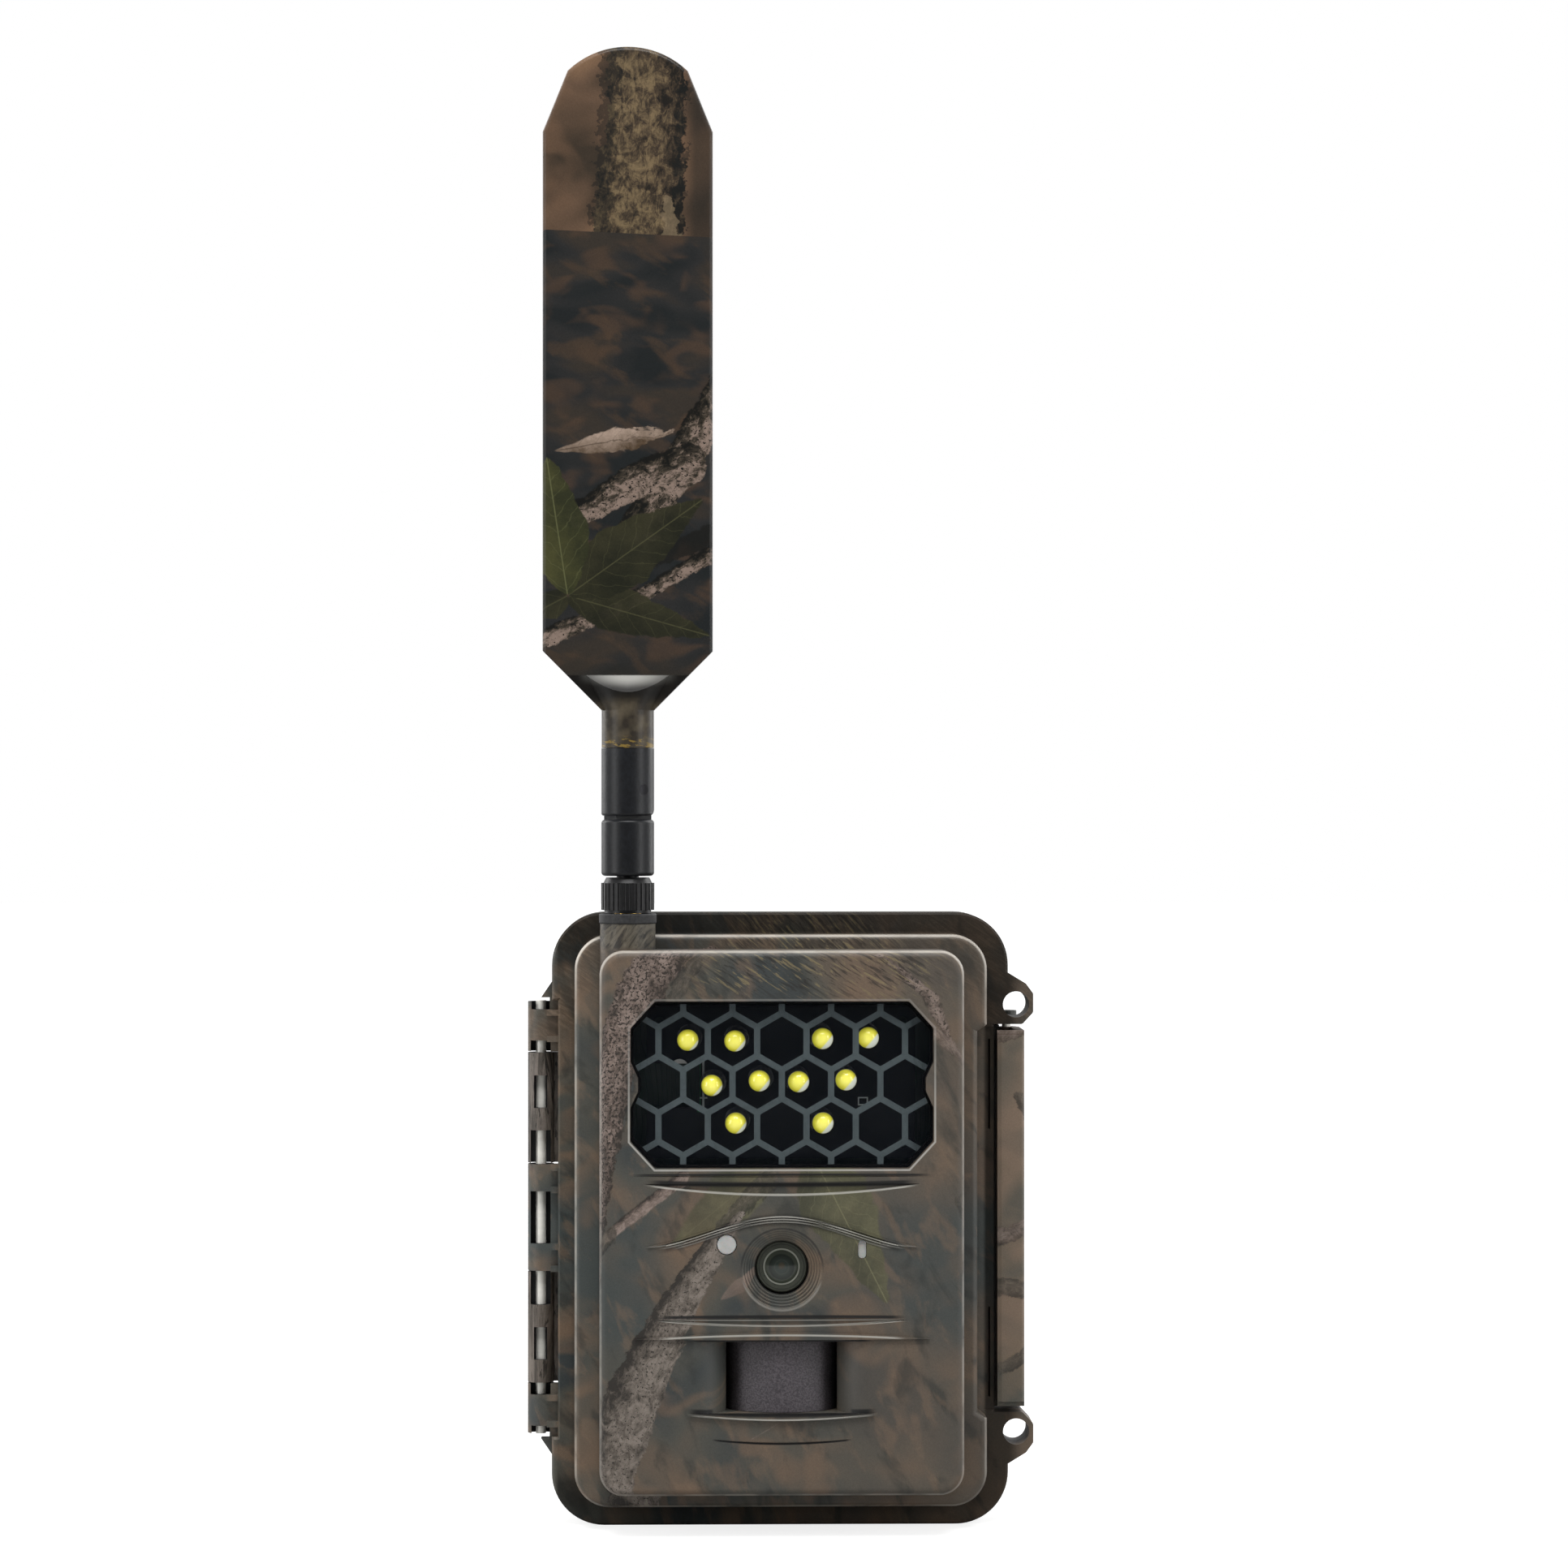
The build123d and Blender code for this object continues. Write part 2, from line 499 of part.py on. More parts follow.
def pir_lens():
    """Curtain of thin Fresnel plastic, bowed forward about a vertical axis, on a mounting frame."""
    wall_y = FACE_Y + PIR_DEPTH
    half = PIR_HALF_W - 0.1
    r = (half ** 2 + PIR_BULGE ** 2) / (2 * PIR_BULGE)
    centre_y = wall_y - PIR_BULGE + r
    z0, z1 = PIR_Z - PIR_HALF_H + 0.1, PIR_Z + PIR_HALF_H - 0.1
    bow = rod_z(0, centre_y, r, z0, z1) - rod_z(0, centre_y, r - 0.9, z0 - 1, z1 + 1)
    bow &= box((-half, half), (wall_y, wall_y - 20), (z0, z1))
    frame = box((-half, half), (wall_y + 3.0, wall_y - 0.01), (z0, z1))
    frame -= box((-half + 0.9, half - 0.9), (wall_y + 4, wall_y - 1), (z0 - 1, z1 + 1))
    rim = box((-half - 2, half + 2), (wall_y + 3.0, wall_y + 1.9), (z0 - 1.6, z1 + 1.6))
    rim -= box((-half + 0.9, half - 0.9), (wall_y + 4, wall_y - 1), (z0 + 1, z1 - 1))
    return bow + frame + rim


def pir_sensor():
    can = rod_y(0, PIR_Z, 4.6, BOARD_Y, BOARD_Y - 0.8) + rod_y(0, PIR_Z, 4.1, BOARD_Y, BOARD_Y - 3.9)
    return can


def main_board():
    board = plate(rounded((-37.0, 36.0), (12.5, 129.0), 2.0), BOARD_Y + BOARD_T, BOARD_Y)
    for x, z in BOARD_SCREWS:
        board -= rod_y(x, z, 1.3, BOARD_Y + BOARD_T + 1, BOARD_Y - 1)
    return board


BOARD_SCREWS = [(-32.0, 18.0), (33.0, 30.2), (-32.0, 76.0), (33.0, 76.0)]


def pan_head_screw(x, z, y_under, shank_r, shank_l, to_front):
    """A screw driven towards the front (-Y) or the back, its head bearing on y_under."""
    head_r, head_t = 1.9, 1.1
    way = -1 if to_front else 1
    head = rod_y(x, z, head_r, max(y_under, y_under - way * head_t), min(y_under, y_under - way * head_t))
    tip = y_under + way * shank_l
    shank = rod_y(x, z, shank_r, max(y_under, tip), min(y_under, tip))
    outer = y_under - way * head_t
    slot_y = (outer - 0.01 * way, outer + way * head_t * 0.55)
    cross = box((x - head_r * 0.62, x + head_r * 0.62), slot_y, (z - 0.22, z + 0.22))
    cross += box((x - 0.22, x + 0.22), slot_y, (z - head_r * 0.62, z + head_r * 0.62))
    return head + shank - cross


def panel_screws():
    under_y = PANEL_Y + 0.8
    return Compound(children=[pan_head_screw(x, z, under_y, 0.98, 7.5, True) for x, z in PANEL_SCREWS])


def board_posts():
    """Posts from the panel forward to the main board, which hold the board and its screws."""
    posts = None
    for x, z in BOARD_SCREWS:
        post = rod_y(x, z, 2.4, PANEL_Y + 0.5, BOARD_Y + BOARD_T + 0.02)
        post -= rod_y(x, z, 0.98, PANEL_Y - 0.3, BOARD_Y)
        posts = post if posts is None else posts + post
    return posts


def board_screws():
    return Compound(children=[pan_head_screw(x, z, BOARD_Y, 0.94, 5.6, False) for x, z in BOARD_SCREWS])


# ---------------------------------------------------------------- control panel and what it carries
KEYS = {
    "up_button": (PAD_X, KEY_Z + KEY_PITCH),
    "down_button": (PAD_X, KEY_Z - KEY_PITCH),
    "left_button": (PAD_X - KEY_PITCH, KEY_Z),
    "right_button": (PAD_X + KEY_PITCH, KEY_Z),
    "ok_button": (PAD_X, KEY_Z),
    "menu_button": (SOFT_KEY_X, KEY_Z),
}
PANEL_BACK_Y = PANEL_Y + PANEL_T


def lcd_outline(grow, round_r):
    """The screen's opening, made larger by grow on each side."""
    return rounded(around(LCD_X, LCD_W / 2 + grow), around(LCD_Z, LCD_H / 2 + grow), round_r)


def control_panel():
    """Inner cover of the front case: screen window, keys, power switch and the two card bays."""
    panel = plate(rounded(PANEL_X, PANEL_Z, 5.0), PANEL_BACK_Y, PANEL_Y)
    panel = chamfer(edges_at_y(panel, PANEL_BACK_Y), 0.4)
    panel -= plate(lcd_outline(0.0, 1.0), PANEL_BACK_Y + 1, PANEL_Y - 1)
    panel -= plate(lcd_outline(2.0, 1.5), PANEL_BACK_Y + 1, PANEL_BACK_Y - 1.0)
    for x, z in KEYS.values():
        panel -= rod_y(x, z, BUTTON_R + 0.1, PANEL_BACK_Y + 1, PANEL_Y - 1)
    panel -= plate(rounded(around(SWITCH_X, 5.5), around(SWITCH_Z, 1.7), 1.0), PANEL_BACK_Y + 1, PANEL_Y - 1)
    panel -= plate(rounded(BAY_X, BAY_Z, 1.5), PANEL_BACK_Y + 1, PANEL_Y - 1)
    for x, z in PANEL_SCREWS:
        panel -= rod_y(x, z, 1.15, PANEL_BACK_Y + 1, PANEL_Y - 1)
        panel -= rod_y(x, z, 2.1, PANEL_BACK_Y + 1, PANEL_Y + 0.8)
    panel -= rod_y(*CABLE_GAP, 2.6, PANEL_BACK_Y + 1, PANEL_Y - 1)
    return panel + board_posts()


def lcd_window():
    return plate(lcd_outline(1.9, 1.4), PANEL_BACK_Y, PANEL_BACK_Y - 0.95)


def lcd_module():
    z = (LCD_Z - LCD_H / 2 - 4, LCD_Z + LCD_H / 2 + 2.5)
    return plate(rounded(around(LCD_X, LCD_W / 2 + 3), z, 0.6), PANEL_Y - 0.05, PANEL_Y - 3.1)


def key_cap(name):
    """One push button: a cap through the panel with a rim behind it that stops it falling out."""
    x, z = KEYS[name]
    cap = rod_y(x, z, BUTTON_R, PANEL_BACK_Y + BUTTON_PROUD, PANEL_Y - 0.2)
    cap = fillet(edges_at_y(cap, PANEL_BACK_Y + BUTTON_PROUD), 0.6)
    return cap + rod_y(x, z, BUTTON_RIM_R, PANEL_Y - 0.1, PANEL_Y - 1.0)


def tact_switches():
    """The switch under each key, soldered on the main board."""
    made = []
    top = BOARD_Y + BOARD_T
    for x, z in KEYS.values():
        body = box(around(x, 3), (top, top + 2.6), around(z, 3))
        made.append(body + rod_y(x, z, 1.5, top + 3.6, top + 2.5))
    return Compound(children=made)


def power_switch_body():
    top = BOARD_Y + BOARD_T
    body = box(around(SWITCH_X, 6.5), (top, PANEL_Y - 0.6), around(SWITCH_Z, 2.6))
    return body - box(around(SWITCH_X, 5.2), (PANEL_Y - 2.4, PANEL_Y), around(SWITCH_Z, 1.3))


def power_switch_knob():
    """Slide knob at OFF, the first of its three positions."""
    x = SWITCH_X - 3.2
    knob = box(around(x, 1.7), (PANEL_Y - 2.3, PANEL_BACK_Y + 0.7), around(SWITCH_Z, 1.2))
    for dx in (-0.8, 0.0, 0.8):
        knob -= box(around(x + dx, 0.15), (PANEL_BACK_Y + 0.3, PANEL_BACK_Y + 1), around(SWITCH_Z, 2))
    return knob


def card_slot(mouth_x, way, mid_z, width, length, thick):
    """A metal card socket on the board; way is the side its mouth faces, +1 for +X."""
    top = BOARD_Y + BOARD_T
    z = (mid_z - width / 2 - 1.2, mid_z + width / 2 + 1.2)
    shell = box(sorted((mouth_x, mouth_x - way * length)), (top, top + thick + 1.3), z)
    bay = box(sorted((mouth_x + way, mouth_x - way * (length - 1.2))), (top + 0.5, top + thick + 0.8),
              (z[0] + 1.0, z[1] - 1.0))
    return shell - bay


def card(mouth_x, way, mid_z, width, length, thick, inside):
    """A card pushed home, one corner of its leading edge cut off."""
    tail, nose = mouth_x + way * (length - inside), mouth_x - way * inside
    corner = width * 0.15
    low, high = around(mid_z, width / 2)
    face = outline([(tail, low), (nose, low), (nose, high - corner), (nose + way * corner, high), (tail, high)], 0.4)
    back = BOARD_Y + BOARD_T + 0.6
    return plate(face, back + thick, back)


def sd_card_slot():
    return card_slot(SD_MOUTH_X, 1, SD_Z, SD_W, 26.4, SD_T)


def sd_card():
    return card(SD_MOUTH_X, 1, SD_Z, SD_W, SD_L, SD_T, 25.0)


def sim_card_slot():
    return card_slot(SIM_MOUTH_X, -1, SIM_Z, SIM_W, 13.2, SIM_T)


def sim_card():
    return card(SIM_MOUTH_X, -1, SIM_Z, SIM_W, SIM_L, SIM_T, 11.8)


def usb_port():
    """Mini USB socket, its mouth in the same bay as the cards."""
    top = BOARD_Y + BOARD_T
    shell = box((USB_MOUTH_X, USB_MOUTH_X + 8.0), (top, top + 3.9), around(SD_Z, 3.85))
    return shell - box((USB_MOUTH_X - 1, USB_MOUTH_X + 7.0), (top + 0.7, top + 3.2), around(SD_Z, 3.15))


# ---------------------------------------------------------------- rear case
RAIL_X, RAIL_T, RAIL_Z, RAIL_TEETH = 30.0, 5.0, (12.0, 128.0), 29
STRAP_DZ, STRAP_H, STRAP_D = 38.0, 28.0, 4.0
CABLE_R, CABLE_Y = 3.2, BACK_Y + 4.3             # lock cable hole through both rails
SOCKET_R, SOCKET_L = 2.55, 11.0
JACK_X, JACK_Y = -22.0, 1.0


def tree_rail(sign):
    """A toothed rail that bites the bark, slotted for two straps and bored for a lock cable."""
    x = around(sign * RAIL_X, RAIL_T / 2)
    back = BACK_Y + RAIL_D
    pitch = (RAIL_Z[1] - RAIL_Z[0]) / RAIL_TEETH
    points = [(BACK_Y - 1, RAIL_Z[0]), (back - 4, RAIL_Z[0])]
    for i in range(RAIL_TEETH):
        z = RAIL_Z[0] + i * pitch
        points += [(back - 1.4, z + 0.1 * pitch), (back, z + 0.5 * pitch), (back - 1.4, z + 0.9 * pitch)]
    points += [(back - 4, RAIL_Z[1]), (BACK_Y - 1, RAIL_Z[1])]
    rail = extrude(Plane.YZ.offset(x[0]) * make_face(Polyline(*points, close=True)), amount=RAIL_T)
    for dz in (STRAP_DZ, -STRAP_DZ):
        rail -= box((x[0] - 1, x[1] + 1), (BACK_Y, BACK_Y + STRAP_D), around(MID_Z + dz, STRAP_H / 2))
    return rail


def latch_ears():
    """Ears on the rear case that carry the latch pin at both ends and in the middle."""
    ear = None
    spans = ((LATCH_DZ + 0.25, LATCH_DZ + 2.9), (-LATCH_DZ - 2.9, -LATCH_DZ - 0.25), (-2.0, 2.0))
    x, y = LATCH_AXIS
    for z0, z1 in spans:
        piece = rod_z(x, y, LATCH_BARREL_R, MID_Z + z0, MID_Z + z1)
        piece += box((REAR_BOX_W / 2 - 1, x), around(y, LATCH_BARREL_R), (MID_Z + z0, MID_Z + z1))
        ear = piece if ear is None else ear + piece
    return ear - rod_z(x, y, LATCH_PIN_R + 0.02, 0, CASE_H)


def gasket_ring(grow=0.0):
    outer = rounded((-48.4 - grow, 48.4 + grow), (3.7 - grow, 136.3 + grow), 9.8 + grow)
    return outer - rounded((-46.9 + grow, 46.9 - grow), (5.2 + grow, 134.8 - grow), 8.3 - grow)


def rear_shell():
    low, high = MID_Z - REAR_BOX_H / 2, MID_Z + REAR_BOX_H / 2
    half = REAR_BOX_W / 2
    body = plate(rounded((-half, half), (low, high), REAR_BOX_R), BACK_Y, PART_Y + 2)
    body = fillet(edges_at_y(body, BACK_Y), 3.0)
    shell = flange(PART_Y + REAR_FLANGE_T, PART_Y + GAP) + body
    shell += box((half - 1, LATCH_SHELF_X), (PART_Y + REAR_FLANGE_T, PART_Y + GAP), around(MID_Z, LATCH_DZ))
    shell += box((-PAD_HALF_W, PAD_HALF_W), PAD_Y, (0, low + 2))
    shell += tree_rail(1) + tree_rail(-1)
    hollow = rounded(around(0, half - WALL), (low + WALL, high - WALL), REAR_BOX_R - WALL)
    shell -= plate(hollow, BACK_Y - WALL, PART_Y - 1)
    shell += rod_z(0, 0, 6.2, 0, SOCKET_L + 2.5)
    shell += box(around(JACK_X, 6.5), around(JACK_Y, 6.5), (1.0, 6.4))
    shell -= rod_z(0, 0, 4.5, -1, SOCKET_L)
    shell -= plate(gasket_ring(0.05), PART_Y + 1.5, PART_Y - 1)
    shell += rear_knuckles() + latch_ears()
    shell -= Pos(0, CABLE_Y, MID_Z) * Rot(0, 90, 0) * Cylinder(CABLE_R, 2 * RAIL_X + 2 * RAIL_T)
    shell -= rod_z(JACK_X, JACK_Y, 3.0, -1, 8)
    shell -= box(around(JACK_X, 5.2), (JACK_Y - 5.2, JACK_Y + 8.2), (-1, 2.4))
    shell += tray_posts()
    return shell


TRAY_SCREWS = [(-15.0, TRAY_MID_Z), (15.0, TRAY_MID_Z)]


def tray_posts():
    posts = None
    for x, z in TRAY_SCREWS:
        post = rod_y(x, z, 2.8, BACK_Y - 1, TRAY_Y[1])
        post -= rod_y(x, z, 1.02, BACK_Y - 1.8, TRAY_Y[1] - 1)
        posts = post if posts is None else posts + post
    return posts


def tripod_insert():
    """Brass insert for a 1/4 inch tripod screw, moulded into the foot."""
    body = rod_z(0, 0, 4.45, 0, SOCKET_L - 0.05)
    for z in (3.0, 7.0):
        body -= rod_z(0, 0, 5, z, z + 0.8) - rod_z(0, 0, 4.0, z, z + 0.8)
    return body - rod_z(0, 0, SOCKET_R, -1, SOCKET_L - 1.0)


def dc_jack():
    """Socket for an outside 12 V supply: a round barrel with its centre pin, facing down."""
    body = rod_z(JACK_X, JACK_Y, 2.95, 2.6, 12.0)
    body += box(around(JACK_X, 4.5), around(JACK_Y, 4.5), (6.5, 13.4))
    body -= rod_z(JACK_X, JACK_Y, 2.2, 2, 12.0)
    return body + rod_z(JACK_X, JACK_Y, 0.7, 3.4, 12.5)


def dc_port_cover():
    """Rubber flap over the supply socket, with a plug that presses into its recess."""
    flap = box(around(JACK_X, 5.0), (JACK_Y - 5.0, JACK_Y + 8.0), (0.3, 1.7))
    flap = fillet([e for e in flap.edges() if abs(e.center().Z - 0.3) < 1e-3], 0.5)
    return flap + rod_z(JACK_X, JACK_Y, 1.9, 1.7, 2.35)


def case_gasket():
    return plate(gasket_ring(), PART_Y + 1.48, PART_Y - 0.06)


def cell_places():
    """X and Z of each cell's middle, and which way up it is: 1 or -1."""
    places = []
    for sign in (1, -1):
        for i in range(6):
            places.append(((i - 2.5) * CELL_PITCH, TRAY_MID_Z + sign * BAY_DZ, 1 if i % 2 else -1))
    return places


def battery_tray():
    """Tray with six troughs in each of two bays, a divider wall across the middle."""
    mid = TRAY_MID_Z
    tray = plate(rounded(around(0, TRAY_HALF_W), around(mid, TRAY_HALF_H), 6.0), *reversed(TRAY_Y))
    for sign in (1, -1):
        tray -= box((-45.0, 45.0), (TRAY_Y[0] - 1, CELL_Y + 3.2), around(mid + sign * BAY_DZ, BAY_H / 2))
    for x, z, _ in cell_places():
        tray -= rod_z(x, CELL_Y, CELL_R + 0.15, *around(z, BAY_H / 2))
    for x, z in TRAY_SCREWS:
        tray += rod_y(x, z, 2.9, TRAY_Y[1], TRAY_Y[0] + 1.5)
        tray -= rod_y(x, z, 1.15, TRAY_Y[1] + 1, TRAY_Y[0])
        tray -= rod_y(x, z, 2.2, TRAY_Y[0] + 1.5, TRAY_Y[0] - 1)
    return tray


def tray_screws():
    under_y = TRAY_Y[0] + 1.5
    return Compound(children=[pan_head_screw(x, z, under_y, 0.98, 20.0, False) for x, z in TRAY_SCREWS])


def aa_cells():
    """Twelve AA cells, each turned end for end against its neighbour."""
    made = []
    for x, z, up in cell_places():
        z0, z1 = z - CELL_L / 2, z + CELL_L / 2
        body_z = (z0, z1 - 1.2) if up > 0 else (z0 + 1.2, z1)
        nub_z = (z1 - 1.3, z1) if up > 0 else (z0, z0 + 1.3)
        body = rod_z(x, CELL_Y, CELL_R - 0.05, *body_z)
        body = fillet(body.edges().filter_by(GeomType.CIRCLE), 0.5)
        made.append(body + rod_z(x, CELL_Y, 2.7, *nub_z))
    return Compound(children=made)


def battery_contacts():
    """A bowed leaf at each negative end and a flat tab with a button at each positive end."""
    made = []
    for x, z, up in cell_places():
        low, high = z - up * BAY_H / 2, z + up * BAY_H / 2
        cell_low, cell_high = z - up * (CELL_L / 2 + 0.05), z + up * (CELL_L / 2 + 0.05)
        width, depth = around(x, 4.5), (CELL_Y - 5.5, CELL_Y + 2.8)
        foot, crest, tip = low + up * 0.2, cell_low - up * 0.2, low + up * 0.9
        bow = trace(Polyline((depth[1] - 0.3, foot), (CELL_Y - 1.2, crest), (depth[0] + 1.0, tip)), 0.4)
        leaf = extrude(Plane.YZ.offset(x - 3.2) * bow, amount=6.4)
        leaf &= box(width, (CELL_Y - 9, CELL_Y + 9), sorted((low, cell_low)))
        made.append(leaf + box(width, depth, sorted((low, low + up * 0.4))))
        tab = box(width, depth, sorted((high, high - up * 0.4)))
        made.append(tab + rod_z(x, CELL_Y, 2.0, *sorted((high, cell_high))))
    return Compound(children=made)


CABLE_GAP = (-41.8, 9.8)                        # where the lead passes the control panel's corner


def power_cable():
    """Two-core lead from the cells to the main board, looped beside the hinge so that the case can open."""
    board_back = BOARD_Y + BOARD_T
    path = Spline((-42.0, 4.0, TRAY_MID_Z - TRAY_HALF_H - 0.1), (-42.6, 0.0, 9.6), (-42.9, -8.0, 8.6),
                  (CABLE_GAP[0], PART_Y, CABLE_GAP[1]), (-38.6, board_back + 1.6, 12.4),
                  (-35.4, board_back + 0.1, 15.6), tangents=[(0, 0, -1), (0, -1, 0)])
    return sweep(Plane(path @ 0, z_dir=path % 0) * Circle(0.8), path=path)


def latch_pin():
    half = LATCH_DZ + 2.8
    return rod_z(*LATCH_AXIS, LATCH_PIN_R, MID_Z - half, MID_Z + half)


# ---------------------------------------------------------------- latch
def latch_lever():
    """A long side latch: a lip in front, a side wall, and a barrel round its pin at the back."""
    x0, x1 = LATCH_X
    front = LATCH_FRONT_Y
    px, py = LATCH_AXIS
    wall_x = x1 - LATCH_T
    section = outline([(x0, front + 0.2), (x0 + 0.9, front), (x1, front), (x1, py), (wall_x, py),
                       (wall_x, front + 2.6), (x0 + 1.3, front + 2.6), (x0 + 1.1, front + 4.2), (x0, front + 4.2)])
    z0, z1 = around(MID_Z, LATCH_DZ - LATCH_PLAY)
    lever = extrude(Plane.XY.offset(z0) * section, amount=z1 - z0)
    corner = [e for e in edges_at_y(lever, front) if abs(e.center().X - x1) < 0.1]
    lever = fillet(corner, 0.8)
    lever += rod_z(px, py, LATCH_BARREL_R, z0, z1)
    lever += box((px, x1), (py - LATCH_BARREL_R, py), (z0, z1))
    lever -= rod_z(px, py, LATCH_BARREL_R + 0.3, MID_Z - 2.3, MID_Z + 2.3)
    lever -= box((px - 6, px + 0.6), (py - 3.2, py + 3.2), (MID_Z - 2.3, MID_Z + 2.3))
    lever -= rod_z(px, py, LATCH_BORE_R, z0 - 1, z1 + 1)
    for z in (z0, z1 - 1.1):                    # the lip drops back at both ends
        lever -= box((x0 - 1, x1 + 1), (front - 1, front + 0.8), (z, z + 1.1))
    return lever


# ---------------------------------------------------------------- antenna
def ant_plane():
    """Plane through the pivot whose normal is the pivot pin, x towards the side the antenna folds to."""
    along, aside = cos(radians(PIVOT_TURN)), sin(radians(PIVOT_TURN))
    return Plane(origin=(ANT_X, ANT_Y, PIVOT_Z), x_dir=(along, aside, 0), z_dir=(aside, -along, 0))


def across_pivot(sketch, half_t):
    return extrude(ant_plane() * sketch, amount=half_t, both=True)


def antenna_connector():
    """Threaded coaxial connector: thread above the boss, a shoulder and a solder pin inside."""
    body = rod_z(ANT_X, ANT_Y, THREAD_R, 127.0, THREAD_TOP)
    body = chamfer([e for e in body.edges() if abs(e.center().Z - THREAD_TOP) < 1e-3], 0.4)
    body -= rod_z(ANT_X, ANT_Y, 2.3, THREAD_TOP - 3.0, THREAD_TOP + 1)
    contact = rod_z(ANT_X, ANT_Y, 0.6, 124.5, THREAD_TOP - 1.2)
    return body + contact + rod_z(ANT_X, ANT_Y, 4.5, BOSS_TOP - 7.2, BOSS_TOP - 5.3)


def antenna_seal():
    ring = rod_z(ANT_X, ANT_Y, SEAL_R, BOSS_TOP, SEAL_TOP)
    ring = fillet(ring.edges().filter_by(GeomType.CIRCLE), 0.35)
    return ring - rod_z(ANT_X, ANT_Y, THREAD_R + 0.05, BOSS_TOP - 1, SEAL_TOP + 1)


def antenna_nut():
    """Knurled coupling nut, free to turn on the foot of the antenna."""
    z0, z1 = NUT_Z
    nut = rod_z(ANT_X, ANT_Y, NUT_R, z0, z1) + rod_z(ANT_X, ANT_Y, 5.3, SEAL_TOP + 0.15, z0 + 0.1)
    groove_r, reach = 0.34, NUT_R + 0.05
    for i in range(NUT_TEETH):
        turn = 2 * pi * i / NUT_TEETH
        nut -= rod_z(ANT_X + reach * cos(turn), ANT_Y + reach * sin(turn), groove_r, z0 - 1, z1 + 1)
    nut += Pos(ANT_X, ANT_Y, (z1 + NUT_TOP) / 2) * Cone(5.5, 4.9, NUT_TOP - z1)
    nut -= rod_z(ANT_X, ANT_Y, THREAD_R + 0.08, SEAL_TOP, 145.2)
    return nut - rod_z(ANT_X, ANT_Y, 2.6, 145, NUT_TOP + 1)


def antenna_base():
    """Lower sleeve: a captive stem in the nut below, a flat tongue for the pivot above."""
    sleeve = rod_z(ANT_X, ANT_Y, SLEEVE_R, *BASE_Z)
    sleeve = fillet(sleeve.edges().filter_by(GeomType.CIRCLE), 0.8)
    sleeve += rod_z(ANT_X, ANT_Y, 2.5, 144.0, BASE_Z[0] + 1)
    sleeve += rod_z(ANT_X, ANT_Y, 3.0, 143.5, 145.0)
    rise = PIVOT_Z - BASE_Z[1] + 1
    tongue = Circle(TONGUE_R) + Pos(0, -rise / 2) * Rectangle(2 * TONGUE_R, rise)
    sleeve += across_pivot(tongue, TONGUE_T / 2)
    return sleeve - across_pivot(Circle(1.26), 4)


def antenna_knuckle():
    """Upper sleeve: a fork round the tongue, rounded below on the side it folds towards."""
    z0, z1 = KNUCKLE_Z
    sleeve = rod_z(ANT_X, ANT_Y, SLEEVE_R, z0, z1)
    sleeve = fillet([e for e in sleeve.edges() if e.center().Z < z0 + 0.1], 0.5)
    drop = PIVOT_Z - z0
    swing = drop + 0.45                         # the corner must pass over the sleeve below
    corner = Pos(swing / 2 + 0.75, -swing / 2 - 0.75) * Rectangle(swing + 1.5, swing + 1.5) - Circle(swing)
    sleeve -= across_pivot(corner, SLEEVE_R + 1)
    fork = Circle(TONGUE_R + 0.15) + Pos(0, -drop / 2) * Rectangle(2 * TONGUE_R + 0.3, drop + 0.6)
    fork += Pos(5, 0) * Rectangle(10, 2 * TONGUE_R + 0.3)
    sleeve -= across_pivot(fork, TONGUE_T / 2 + 0.1)
    sleeve += rod_z(ANT_X, ANT_Y, 3.9, z1 - 1, z1 + 6)
    return sleeve - across_pivot(Circle(1.22), 8)


def antenna_pivot_pin():
    pin = across_pivot(Circle(PIN_R), SLEEVE_R + 0.02)
    return pin & rod_z(ANT_X, ANT_Y, SLEEVE_R + 0.02, PIVOT_Z - 3, PIVOT_Z + 3)


def blade_outline(inset=0.0):
    """Front view of the paddle: a tapered foot, straight sides, sloped shoulders and a crowned top."""
    w, crown = BLADE_HALF_W - inset, CROWN_HALF_W - inset
    foot_w = NECK_R - inset * 0.4
    z = [NECK_Z[1], BLADE_Z[0], BLADE_Z[1] - inset * 0.3, CROWN_Z - inset, BLADE_TOP - inset]
    right = [(foot_w, z[0]), (w, z[1]), (w, z[2]), (crown, z[3])]
    sides = Polyline([(-x, height) for x, height in reversed(right)] + right)
    return Pos(ANT_X, 0) * make_face([sides, ThreePointArc((crown, z[3]), (0, z[4]), (-crown, z[3]))])


